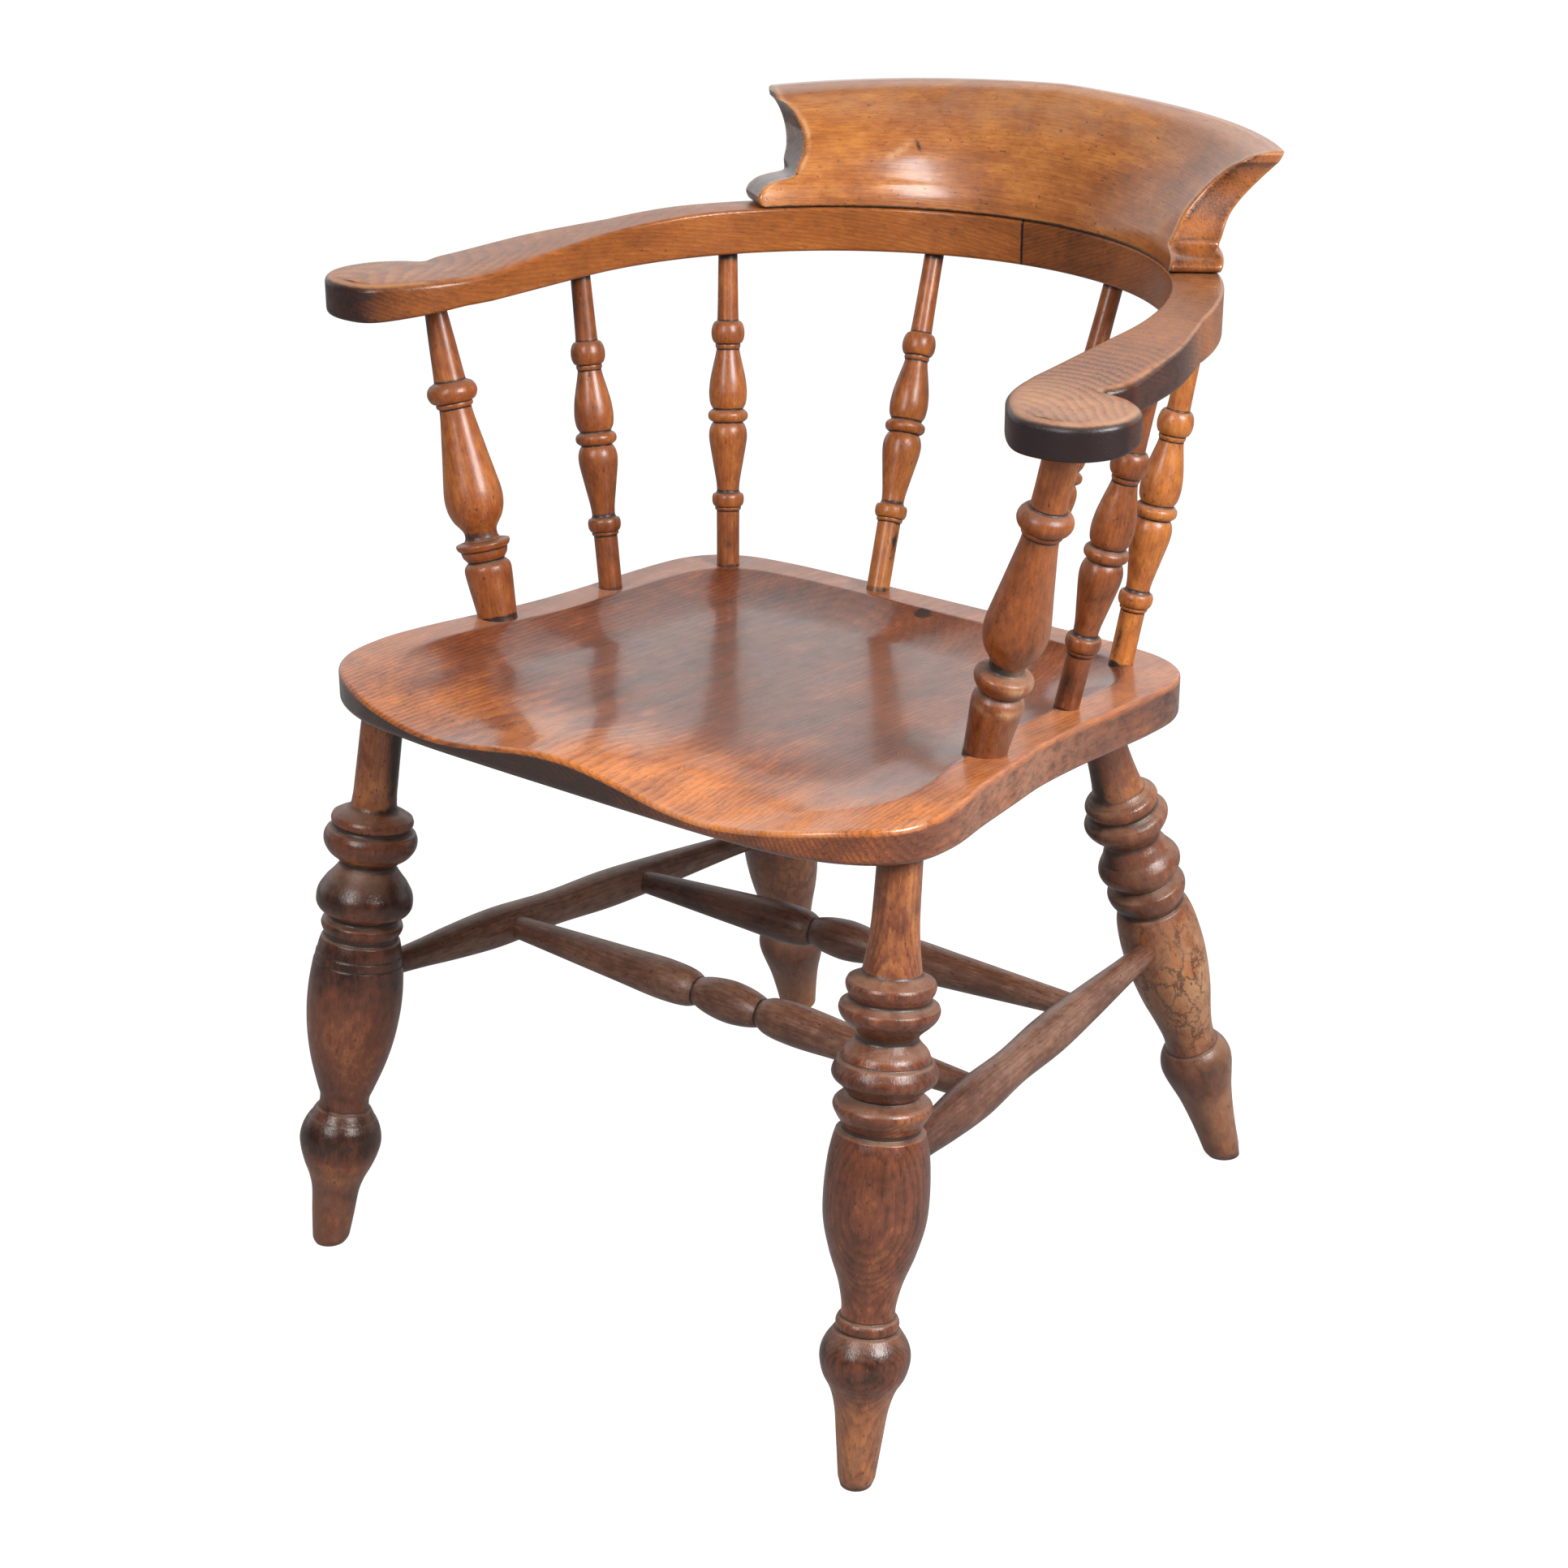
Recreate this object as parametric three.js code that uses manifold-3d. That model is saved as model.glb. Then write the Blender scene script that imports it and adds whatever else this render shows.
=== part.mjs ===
// Captain's chair: a low-backed wooden armchair with turned legs and spindles.
// Millimetres, +Z up, the sitter faces -Y, the left side of the picture is -X.
// Two bent-plan arm halves meet behind the sitter and carry a thick, scooped crest.
// The plan datum lies on the mirror plane, a little behind the arm posts; at the
// end the whole chair is moved so that its origin is the bottom centre of its box.
import * as THREE from "three";
import { mergeVertices } from "three/addons/utils/BufferGeometryUtils.js";
import Module from "manifold-3d";

const wasm = await Module();
wasm.setup();

// Fit between neighbouring pieces
const fit_gap = 0.3;
const hole_clearance = 0.36;
const arm_hole_clearance = 0.6;
const cutter_overrun = 8;
const weld_distance = 1e-4;

// Seat
const seat_datum_height = 432;
const seat_datum_y = -70;
const seat_fall_slope = 0.047;
const seat_thickness = 30;
const seat_half_width = 240;
const seat_middle_x = 5;
const seat_back_y = 181;
const seat_front_y = -242;
const seat_middle_y = -30;
const seat_dish_depth = 12;
const seat_front_drop = 7.5;
const seat_hollow_depth = 13.5;
const seat_hollow_reach = 225;
const seat_hollow_start_y = -105;
const seat_edge_chamfer = 4;
const seat_rim_round = 1.6;
const seat_outline_parts = 54;

// Legs: feet on the floor, and where each axis passes at the height below
const leg_reference_height = 390;
const front_foot = { x: 235, y: -235 };
const front_leg_upper = { x: 216, y: -173 };
const back_foot = { x: 203, y: 268 };
const back_leg_upper = { x: 148, y: 143 };
const leg_pattern_length = 400;
const leg_radius = 33;
const leg_floor_allowance = 12;
const leg_tenon_radius = 12.6;
const leg_tenon_depth = 17;
const leg_sides = 12;
const worn_feet = { front_left: -1.7, front_right: 4.5, back_right: 7.9, back_left: -10.7 };

// Side stretchers run from leg to leg; cross stretchers run between them
const side_stretcher_at_front_leg = { left: 202.8, right: 201.2 };
const side_stretcher_at_back_leg = { left: 196, right: 204 };
const side_stretcher_radius = 14.6;
const side_stretcher_sides = 10;
const side_tenon_stop = 9;
const cross_stretcher_radius = 14.6;
const cross_stretcher_sides = 10;
const cross_tenon_stop = 3;
const front_cross_at = { left: 136.5, right: 136.5 };
const back_cross_at = { left: 262, right: 280.5 };
const olive_half_length = 28;

// Arm posts and slim spindles: foot on the seat, and where the axis passes a little above
// the bow's underside; their turning patterns follow the rise from the seat to the bow
const bow_rise = 216;
const bow_underside_height = seat_datum_height + bow_rise;
const upright_reference_share = 1.1574;
const upright_reference_rise = upright_reference_share * bow_rise;
const post_base = { x: 205, y: -70 };
const post_upper = { x: 265, y: -67 };
const post_pattern_share = 1.0185;
const post_pattern_length = post_pattern_share * bow_rise;
const post_radius = 20.5;
const post_sides = 12;
const post_seat_depth = 17;
const post_arm_depth = 11;
const spindle_pattern_share = 1.0648;
const spindle_pattern_length = spindle_pattern_share * bow_rise;
const spindle_radius = 14.6;
const spindle_sides = 8;
const spindle_seat_depth = 13;
const spindle_arm_depth = 15;
const front_spindle_base = { x: 195, y: 37 };
const front_spindle_upper = { x: 240.6, y: 60 };
const middle_spindle_base = { x: 171, y: 141 };
const middle_spindle_upper = { x: 199, y: 178 };
const rear_spindle_base = { x: 53, y: 168 };
const rear_spindle_upper = { x: 78, y: 273 };
const spindle_places = [
  { name: "front", base: front_spindle_base, upper: front_spindle_upper },
  { name: "middle", base: middle_spindle_base, upper: middle_spindle_upper },
  { name: "rear", base: rear_spindle_base, upper: rear_spindle_upper },
];
// Hand work: one spindle stands a little wider, and some have their turning set higher
const right_rear_spindle_base = { x: 72, y: 168 };
const raised_turning = { left_middle_spindle: 2.8, left_rear_spindle: 11, right_arm_post: 2.5 };

// Arm bow: two halves butted on the mirror plane
const bow_centre_y = 45;
const bow_inner_radius = 217;
const bow_width = 34;
const bow_outer_radius = bow_inner_radius + bow_width;
const bow_back_thickness = 32;
const bow_back_top_height = bow_underside_height + bow_back_thickness;
const arm_top_slope = 0.0575;
const arm_thickness_at_datum = 23.5;
const arm_edge_round = 2.2;
const bow_arc_steps = 12;
const bow_joint_overrun_degrees = 1.5;
const bow_outer_end_degrees = 12;

// Crest rail, loft of a section swept about the bow's centre
const crest_end_flare = 76;
const crest_middle_flare = 48;
const crest_end_rise = 75;
const crest_middle_rise = 89;
const crest_base_width = bow_width;
const crest_columns = 18;
const crest_layers = 2;

// Dowels that hold the crest on the bow and the bow halves to each other
const dowel_radius = 5;
const dowel_sides = 10;
const crest_dowel_offset_share = 0.7;
const crest_dowel_in_bow = 19;
const crest_dowel_in_crest = 17;
const crest_dowel_angles = [52, 83, 97, 128];
const bow_dowel_radius = 4;
const bow_dowel_half_length = 22;
const bow_dowel_offset_shares = [0.3, 0.74];

// Shares of the pattern length from the floor up, and of the leg's largest radius
const leg_turning_shares = [
  [0.0, 0.36], [0.06, 0.44], [0.12, 0.53], [0.15, 0.64], [0.175, 0.81], [0.2, 0.88],
  [0.225, 0.82], [0.245, 0.66], [0.253, 0.57], [0.267, 0.6], [0.281, 0.515], [0.325, 0.61],
  [0.375, 0.82], [0.425, 0.97], [0.47, 1.0], [0.525, 0.955], [0.563, 0.84], [0.578, 0.76],
  [0.595, 0.9], [0.61, 0.93], [0.631, 0.65], [0.645, 0.86], [0.66, 0.95], [0.683, 0.86],
  [0.694, 0.74], [0.712, 0.65], [0.728, 0.575], [0.745, 0.8], [0.76, 0.92], [0.778, 0.78],
  [0.787, 0.76], [0.802, 0.82], [0.814, 0.76], [0.82, 0.6], [0.84, 0.51], [0.9, 0.45],
];

// Shares of the pattern length from the seat up, and of the largest radius
const post_turning_shares = [
  [0.0, 0.66], [0.15, 0.8], [0.172, 0.74], [0.18, 0.64], [0.188, 0.68], [0.232, 0.9],
  [0.242, 0.86], [0.247, 0.6], [0.27, 0.55], [0.295, 0.66], [0.345, 0.92], [0.41, 1.0],
  [0.5, 0.93], [0.59, 0.75], [0.665, 0.55], [0.68, 0.6], [0.69, 0.76], [0.716, 0.85],
  [0.742, 0.76],
];
const post_neck_shares = {
  left: [[0.756, 0.52], [0.87, 0.45]],
  right: [[0.756, 0.54], [0.87, 0.55]],
};
const post_top_share = { left: 0.36, right: 0.57 };
const spindle_turning_shares = [
  [0.0, 0.57], [0.165, 0.575], [0.178, 0.65], [0.2, 0.8], [0.218, 0.745], [0.224, 0.56],
  [0.26, 0.6], [0.33, 0.79], [0.395, 0.95], [0.428, 0.9], [0.444, 0.76], [0.467, 1.0],
  [0.49, 0.8], [0.535, 0.95], [0.585, 0.88], [0.63, 0.73], [0.678, 0.58], [0.696, 0.63],
  [0.728, 0.83], [0.757, 0.73], [0.766, 0.525],
];
const spindle_top_share = 0.48;

// Shares of the run between the axes, and of the largest radius
const side_stretcher_shares = [
  [0.14, 0.7], [0.2, 0.85], [0.3, 1.0], [0.43, 0.88], [0.56, 0.97], [0.7, 0.84], [0.86, 0.62],
];
const side_stretcher_end_share = 0.54;
const cross_taper_shares = [[0.0, 0.54], [0.25, 0.68], [0.6, 0.88], [0.85, 1.0], [0.96, 0.86]];
const olive_shares = [[0.0, 0.66], [0.22, 0.88], [0.5, 1.0]];

// Half of the seat's plan from back to front: shares of the half width, and of the
// depth behind (positive) or in front of (negative) the seat's middle
const seat_plan_shares = [
  [0.0, 1.0], [0.35, 0.998], [0.61, 0.988], [0.757, 0.955], [0.844, 0.885], [0.89, 0.785],
  [0.906, 0.62], [0.906, 0.4], [0.905, 0.2], [0.915, -0.02], [0.938, -0.19], [0.965, -0.39],
  [0.996, -0.6], [0.985, -0.75], [0.92, -0.858], [0.77, -0.951], [0.54, -0.99],
  [0.25, -0.999], [0.0, -1.0],
];
// Rings of the seat from the axis on top, over the rim, to the axis underneath
const seat_top_ring_shares = [0.0, 0.3, 0.5, 0.64, 0.74, 0.8, 0.86, 0.93];
const seat_rim_share = 0.86;
const seat_dish_wall_share = 0.16;

// Arm plan as shares of the paw's width and of its length: the flank from the bow's outer
// arc forward to the scroll notch, then the paw from the notch round to the inner side
const paw_inner_x = 217;
const paw_outer_x = 317;
const paw_front_y = -130;
const paw_root_y = -20;
const arm_flank_shares = [[0.357, 1.9], [0.5, 1.495], [0.592, 1.0], [0.6, 0.838], [0.54, 0.69]];
const arm_flank_steps = 8;
const paw_shares = [
  [0.54, 0.69], [0.765, 0.635], [0.95, 0.47], [0.985, 0.225], [0.837, 0.055], [0.61, 0.0],
  [0.375, 0.045], [0.16, 0.27], [0.05, 0.5], [0.0, 0.73],
];
const paw_steps = 18;

// Crest section from foot to top: share of the height, of the flare reached by the front
// face, and of the flare reached by the back face
const crest_section_shares = [
  [0.0, 0.0, 0.0], [0.06, 0.01, 0.03], [0.13, 0.03, 0.06], [0.19, 0.06, 0.09],
  [0.22, 0.08, 0.11], [0.32, 0.14, 0.16], [0.45, 0.22, 0.26], [0.6, 0.34, 0.46],
  [0.75, 0.47, 0.7], [0.88, 0.6, 0.9], [0.96, 0.72, 0.98], [1.0, 0.9, 1.0],
];
// Where each row of the section ends, as the turn about the bow's centre at the front
// and at the back: a rolled foot, a scoop above it and a pointed tip
const crest_end_degrees = [
  [39.4, 38.9], [38.7, 38.0], [38.8, 38.1], [40.2, 39.5], [44.0, 43.0], [46.0, 43.8],
  [47.3, 44.6], [47.4, 44.7], [46.3, 44.2], [45.2, 43.6], [43.9, 43.2], [43.3, 43.1],
];
const crest_flare_power = 1.7;
const crest_droop_power = 1.25;

// Wood colours
const colours = {
  seat: 0x8a4a2c,
  leg: 0x7a4027,
  stretcher: 0x4e3529,
  upright: 0x96572b,
  bow: 0x8a4f2a,
  crest: 0xa0642f,
  dowel: 0xb58a5a,
};
const wood_roughness = {
  seat: 0.32,
  leg: 0.35,
  stretcher: 0.5,
  upright: 0.32,
  bow: 0.4,
  crest: 0.38,
  dowel: 0.7,
};

const chair = new THREE.Group();
const up_axis = new THREE.Vector3(0, 1, 0);

function smoothRise(value) {
  const t = Math.min(1, Math.max(0, value));
  return t * t * (3 - 2 * t);
}

function mix(a, b, share) {
  return a + (b - a) * share;
}

// Height of the plane of the seat's flat rim at a front-to-back place
function seatPlane(y) {
  return seat_datum_height - seat_fall_slope * (y - seat_datum_y);
}

// Top of the bow: level behind, falling towards the front from its plan datum
function bowTop(y) {
  const arm_top = bow_underside_height + arm_thickness_at_datum + arm_top_slope * y;
  return Math.min(bow_back_top_height, arm_top);
}

function placement(base, direction) {
  const turn = new THREE.Quaternion().setFromUnitVectors(up_axis, direction.clone().normalize());
  return new THREE.Matrix4().compose(base, turn, new THREE.Vector3(1, 1, 1));
}

// Closed lathe solid about its own Y axis from rows of [distance, radius]
function turned(rows, sides) {
  const points = [new THREE.Vector2(0, rows[0][0])];
  for (const [distance, radius] of rows) {
    points.push(new THREE.Vector2(radius, distance));
  }
  points.push(new THREE.Vector2(0, rows[rows.length - 1][0]));
  return new THREE.LatheGeometry(points, sides);
}

function toSolid(geometry, matrix) {
  const copy = geometry.clone();
  copy.deleteAttribute("normal");
  copy.deleteAttribute("uv");
  if (matrix) {
    copy.applyMatrix4(matrix);
  }
  const merged = mergeVertices(copy, weld_distance);
  const index = merged.getIndex();
  const triVerts = [];
  for (let i = 0; i < index.count; i += 3) {
    const a = index.getX(i);
    const b = index.getX(i + 1);
    const c = index.getX(i + 2);
    if (a !== b && b !== c && a !== c) {
      triVerts.push(a, b, c);
    }
  }
  const mesh = new wasm.Mesh({
    numProp: 3,
    vertProperties: new Float32Array(merged.getAttribute("position").array),
    triVerts: new Uint32Array(triVerts),
  });
  return new wasm.Manifold(mesh);
}

function toGeometry(solid) {
  const mesh = solid.getMesh();
  const geometry = new THREE.BufferGeometry();
  geometry.setAttribute("position", new THREE.BufferAttribute(new Float32Array(mesh.vertProperties), 3));
  geometry.setIndex(new THREE.BufferAttribute(new Uint32Array(mesh.triVerts), 1));
  geometry.computeVertexNormals();
  return geometry;
}

// A piece: its geometry in its own frame and the matrix that places it
function piece(name, kind, geometry, matrix, cutters = []) {
  let body = toSolid(geometry);
  const inverse = matrix.clone().invert();
  for (const cutter of cutters) {
    body = body.subtract(toSolid(cutter.geometry, inverse.clone().multiply(cutter.matrix)));
  }
  const material = new THREE.MeshStandardMaterial({
    color: colours[kind],
    roughness: wood_roughness[kind],
    metalness: 0,
  });
  const mesh = new THREE.Mesh(toGeometry(body), material);
  mesh.name = name;
  mesh.position.setFromMatrixPosition(matrix);
  mesh.quaternion.setFromRotationMatrix(matrix);
  chair.add(mesh);
}

const still = new THREE.Matrix4();

// Everything below this level is floor
const floor_width = 3 * seat_half_width;
const floor_cutter = {
  geometry: new THREE.BoxGeometry(floor_width, floor_width, leg_pattern_length),
  matrix: new THREE.Matrix4().makeTranslation(0, 0, -leg_pattern_length / 2),
};

// Mirror a plan place for the left side
function sided(place, side) {
  return { x: place.x * side, y: place.y };
}

function point(place, height) {
  return new THREE.Vector3(place.x, place.y, height);
}

// Distance along an axis from its base to the sloping plane of the seat, raised by rise
function distanceToSeat(base, direction, rise) {
  const height = seatPlane(base.y) + rise - base.z;
  return height / (direction.z + seat_fall_slope * direction.y);
}

const sides = [
  { label: "left", sign: -1 },
  { label: "right", sign: 1 },
];
const seat_cutters = [];
const bow_cutters = { left: [], right: [] };

// Legs
const legs = {};
const leg_ends = [
  { label: "front", foot: front_foot, upper: front_leg_upper },
  { label: "back", foot: back_foot, upper: back_leg_upper },
];
for (const end of leg_ends) {
  for (const side of sides) {
    const key = `${end.label}_${side.label}`;
    const foot = point(sided(end.foot, side.sign), 0);
    const upper = point(sided(end.upper, side.sign), leg_reference_height);
    const direction = upper.clone().sub(foot).normalize();
    const matrix = placement(foot, direction);
    const shoulder = distanceToSeat(foot, direction, -seat_thickness);
    const tenon_end = shoulder + leg_tenon_depth;
    const rows = leg_turning_shares.map(([along, share]) => [
      along * leg_pattern_length + worn_feet[key],
      share * leg_radius,
    ]);
    rows.unshift([-leg_floor_allowance, rows[0][1]]);
    rows.push([shoulder - cutter_overrun, leg_tenon_radius]);
    rows.push([tenon_end, leg_tenon_radius]);
    seat_cutters.push({
      geometry: turned(
        [
          [shoulder - cutter_overrun, leg_tenon_radius + hole_clearance],
          [tenon_end + fit_gap, leg_tenon_radius + hole_clearance],
        ],
        leg_sides,
      ),
      matrix,
    });
    legs[key] = { key, foot, direction, matrix, rows, cutters: [floor_cutter] };
  }
}

function alongLeg(leg, distance) {
  return leg.foot.clone().addScaledVector(leg.direction, distance);
}

// A turned rail between two points: rows of [distance from the start, radius]
function rail(start, finish) {
  const run = finish.clone().sub(start);
  return {
    start,
    length: run.length(),
    direction: run.clone().normalize(),
    matrix: placement(start, run),
  };
}

// Round hole for one end of a rail, from its tenon's end outwards
function holeAt(line, from, to, radius, side_count) {
  return {
    geometry: turned([[from, radius + hole_clearance], [to, radius + hole_clearance]], side_count),
    matrix: line.matrix,
  };
}

// Side stretchers
const side_rails = {};
for (const side of sides) {
  const front_leg = legs[`front_${side.label}`];
  const back_leg = legs[`back_${side.label}`];
  const line = rail(
    alongLeg(front_leg, side_stretcher_at_front_leg[side.label]),
    alongLeg(back_leg, side_stretcher_at_back_leg[side.label]),
  );
  const end_radius = side_stretcher_end_share * side_stretcher_radius;
  const rows = side_stretcher_shares.map(([along, share]) => [
    along * line.length,
    share * side_stretcher_radius,
  ]);
  const hole_end = leg_radius + cutter_overrun;
  rows.unshift([hole_end, end_radius]);
  rows.unshift([side_tenon_stop, end_radius]);
  rows.push([line.length - hole_end, end_radius]);
  rows.push([line.length - side_tenon_stop, end_radius]);
  front_leg.cutters.push(
    holeAt(line, side_tenon_stop - fit_gap, hole_end, end_radius, side_stretcher_sides),
  );
  back_leg.cutters.push(
    holeAt(
      line,
      line.length - hole_end,
      line.length - side_tenon_stop + fit_gap,
      end_radius,
      side_stretcher_sides,
    ),
  );
  side_rails[side.label] = { line, rows, cutters: [] };
}

// Cross stretchers: a taper and swell on each side of a middle olive
const cross_rails = [
  { label: "front", at: front_cross_at },
  { label: "back", at: back_cross_at },
];
for (const cross of cross_rails) {
  const places = {};
  for (const side of sides) {
    const line = side_rails[side.label].line;
    places[side.label] = line.start.clone().addScaledVector(line.direction, cross.at[side.label]);
  }
  const line = rail(places.left, places.right);
  const middle = line.length / 2;
  const taper_length = middle - olive_half_length - cross_tenon_stop;
  const half = cross_taper_shares.map(([along, share]) => [
    cross_tenon_stop + along * taper_length,
    share * cross_stretcher_radius,
  ]);
  for (const [along, share] of olive_shares) {
    half.push([
      middle - olive_half_length + along * 2 * olive_half_length,
      share * cross_stretcher_radius,
    ]);
  }
  const mirrored = half
    .slice(0, -1)
    .reverse()
    .map(([distance, radius]) => [line.length - distance, radius]);
  const end_radius = half[0][1];
  const bore_end = side_stretcher_radius + cutter_overrun;
  half.splice(1, 0, [side_stretcher_radius, end_radius]);
  mirrored.splice(mirrored.length - 1, 0, [line.length - side_stretcher_radius, end_radius]);
  piece(
    `${cross.label}_cross_stretcher`,
    "stretcher",
    turned([...half, ...mirrored], cross_stretcher_sides),
    line.matrix,
  );
  side_rails.left.cutters.push(
    holeAt(line, cross_tenon_stop - fit_gap, bore_end, end_radius, cross_stretcher_sides),
  );
  side_rails.right.cutters.push(
    holeAt(
      line,
      line.length - bore_end,
      line.length - cross_tenon_stop + fit_gap,
      end_radius,
      cross_stretcher_sides,
    ),
  );
}
for (const side of sides) {
  const rail_part = side_rails[side.label];
  piece(
    `${side.label}_side_stretcher`,
    "stretcher",
    turned(rail_part.rows, side_stretcher_sides),
    rail_part.line.matrix,
    rail_part.cutters,
  );
}
for (const leg of Object.values(legs)) {
  const [end_label, side_label] = leg.key.split("_");
  piece(`${end_label}_${side_label}_leg`, "leg", turned(leg.rows, leg_sides), leg.matrix, leg.cutters);
}

// An upright between the seat and the bow
function upright(name, side, spec) {
  const base_place = sided(spec.base, side.sign);
  const upper_place = sided(spec.upper, side.sign);
  const base = point(base_place, seatPlane(base_place.y));
  const upper = point(upper_place, base.z + upright_reference_rise);
  const direction = upper.clone().sub(base).normalize();
  const matrix = placement(base, direction);
  const top = (bow_underside_height - base.z) / direction.z;
  const top_radius = spec.top_share * spec.radius;
  const base_radius = spec.shares[0][1] * spec.radius;
  const rows = spec.shares.map(([along, share]) => [
    along * spec.pattern_length + (along > 0 ? spec.raise : 0),
    share * spec.radius,
  ]);
  rows.unshift([-spec.seat_depth, base_radius]);
  rows.push([top, top_radius]);
  rows.push([top + spec.bow_depth, top_radius]);
  seat_cutters.push({
    geometry: turned(
      [
        [-spec.seat_depth - fit_gap, base_radius + hole_clearance],
        [cutter_overrun, base_radius + hole_clearance],
      ],
      spec.sides,
    ),
    matrix,
  });
  bow_cutters[side.label].push({
    geometry: turned(
      [
        [top - cutter_overrun, top_radius + arm_hole_clearance],
        [top + spec.bow_depth + fit_gap, top_radius + arm_hole_clearance],
      ],
      spec.sides,
    ),
    matrix,
  });
  piece(name, "upright", turned(rows, spec.sides), matrix);
}

for (const side of sides) {
  upright(`${side.label}_arm_post`, side, {
    base: post_base,
    upper: post_upper,
    shares: [...post_turning_shares, ...post_neck_shares[side.label]],
    top_share: post_top_share[side.label],
    pattern_length: post_pattern_length,
    radius: post_radius,
    sides: post_sides,
    seat_depth: post_seat_depth,
    bow_depth: post_arm_depth,
    raise: raised_turning[`${side.label}_arm_post`] ?? 0,
  });
  for (const place of spindle_places) {
    const name = `${side.label}_${place.name}_spindle`;
    upright(name, side, {
      base: name === "right_rear_spindle" ? right_rear_spindle_base : place.base,
      upper: place.upper,
      shares: spindle_turning_shares,
      top_share: spindle_top_share,
      pattern_length: spindle_pattern_length,
      radius: spindle_radius,
      sides: spindle_sides,
      seat_depth: spindle_seat_depth,
      bow_depth: spindle_arm_depth,
      raise: raised_turning[name] ?? 0,
    });
  }
}

// Seat: rings of the plan outline, dished behind, with two hollows running out through
// the front edge on each side of a low middle ridge
const half_plan = seat_plan_shares.map(([across, along]) => [
  across * seat_half_width,
  along > 0
    ? mix(seat_middle_y, seat_back_y, along)
    : mix(seat_middle_y, seat_front_y, -along),
]);
const plan_points = half_plan.map(([x, y]) => new THREE.Vector3(x, y, 0));
for (const [x, y] of half_plan.slice(1, -1).reverse()) {
  plan_points.push(new THREE.Vector3(-x, y, 0));
}
const seat_outline = new THREE.CatmullRomCurve3(plan_points, true, "centripetal");
const outline_ring = seat_outline.getPoints(seat_outline_parts);

function seatTop(x, y, ring_share) {
  const inside = smoothRise((seat_rim_share - ring_share) / seat_dish_wall_share);
  const forward = smoothRise((seat_hollow_start_y - y) / (seat_hollow_start_y - seat_front_y));
  const across = Math.min(1, Math.abs(x) / seat_hollow_reach);
  const hollow = Math.sin(Math.PI * across) ** 2;
  const front_depth = seat_front_drop + seat_hollow_depth * hollow;
  return seatPlane(y) - mix(seat_dish_depth * inside, front_depth, forward);
}

function seatGeometry() {
  const rings = [];
  for (const share of seat_top_ring_shares) {
    rings.push({ share, top: true, inset: 0 });
  }
  rings.push({ share: 1, top: true, inset: seat_rim_round });
  rings.push({ share: 1, top: true, inset: 0, drop: seat_rim_round });
  rings.push({ share: 1, top: false, inset: 0, drop: -seat_edge_chamfer });
  rings.push({ share: 1, top: false, inset: seat_edge_chamfer });
  rings.push({ share: 0, top: false, inset: 0 });
  rings.reverse();
  const profile = rings.map((ring, row) => new THREE.Vector2(ring.share, row));
  const geometry = new THREE.LatheGeometry(profile, seat_outline_parts);
  const position = geometry.getAttribute("position");
  const row_count = rings.length;
  for (let i = 0; i < position.count; i += 1) {
    const ring = rings[i % row_count];
    const column = Math.floor(i / row_count) % seat_outline_parts;
    const outer = outline_ring[(seat_outline_parts - column) % seat_outline_parts];
    const away = Math.hypot(outer.x, outer.y - seat_middle_y);
    const share = ring.share * (1 - ring.inset / away);
    const x = outer.x * share;
    const y = seat_middle_y + (outer.y - seat_middle_y) * share;
    const drop = ring.drop ?? 0;
    const z = ring.top ? seatTop(x, y, share) - drop : seatPlane(y) - seat_thickness - drop;
    position.setXYZ(i, seat_middle_x + x, y, z);
  }
  return geometry;
}

piece("seat", "seat", seatGeometry(), still, seat_cutters);

// Dowels
function dowel(name, base, direction, length, radius) {
  const matrix = placement(base, direction);
  const hole_radius = radius + hole_clearance;
  piece(name, "dowel", turned([[0, radius], [length, radius]], dowel_sides), matrix);
  return {
    geometry: turned([[-fit_gap, hole_radius], [length + fit_gap, hole_radius]], dowel_sides),
    matrix,
  };
}

const crest_cutters = [];
crest_dowel_angles.forEach((degrees, i) => {
  const angle = THREE.MathUtils.degToRad(degrees);
  const reach = mix(bow_inner_radius, bow_outer_radius, crest_dowel_offset_share);
  const place = new THREE.Vector3(
    reach * Math.cos(angle),
    bow_centre_y + reach * Math.sin(angle),
    bow_back_top_height - crest_dowel_in_bow,
  );
  const upward = new THREE.Vector3(0, 0, 1);
  const length = crest_dowel_in_bow + crest_dowel_in_crest;
  const cutter = dowel(`crest_dowel_${i + 1}`, place, upward, length, dowel_radius);
  crest_cutters.push(cutter);
  bow_cutters[place.x < 0 ? "left" : "right"].push(cutter);
});
bow_dowel_offset_shares.forEach((share, i) => {
  const place = new THREE.Vector3(
    -bow_dowel_half_length,
    bow_centre_y + mix(bow_inner_radius, bow_outer_radius, share),
    mix(bow_underside_height, bow_back_top_height, share),
  );
  const across = new THREE.Vector3(1, 0, 0);
  const length = 2 * bow_dowel_half_length;
  const cutter = dowel(`bow_joint_dowel_${i + 1}`, place, across, length, bow_dowel_radius);
  bow_cutters.left.push(cutter);
  bow_cutters.right.push(cutter);
});

// Arm halves: plan outline with softened edges, its top falling towards the front
function arcPoints(radius, from_degrees, to_degrees) {
  const points = [];
  for (let i = 0; i <= bow_arc_steps; i += 1) {
    const angle = THREE.MathUtils.degToRad(mix(from_degrees, to_degrees, i / bow_arc_steps));
    points.push([radius * Math.cos(angle), bow_centre_y + radius * Math.sin(angle)]);
  }
  return points;
}

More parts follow.
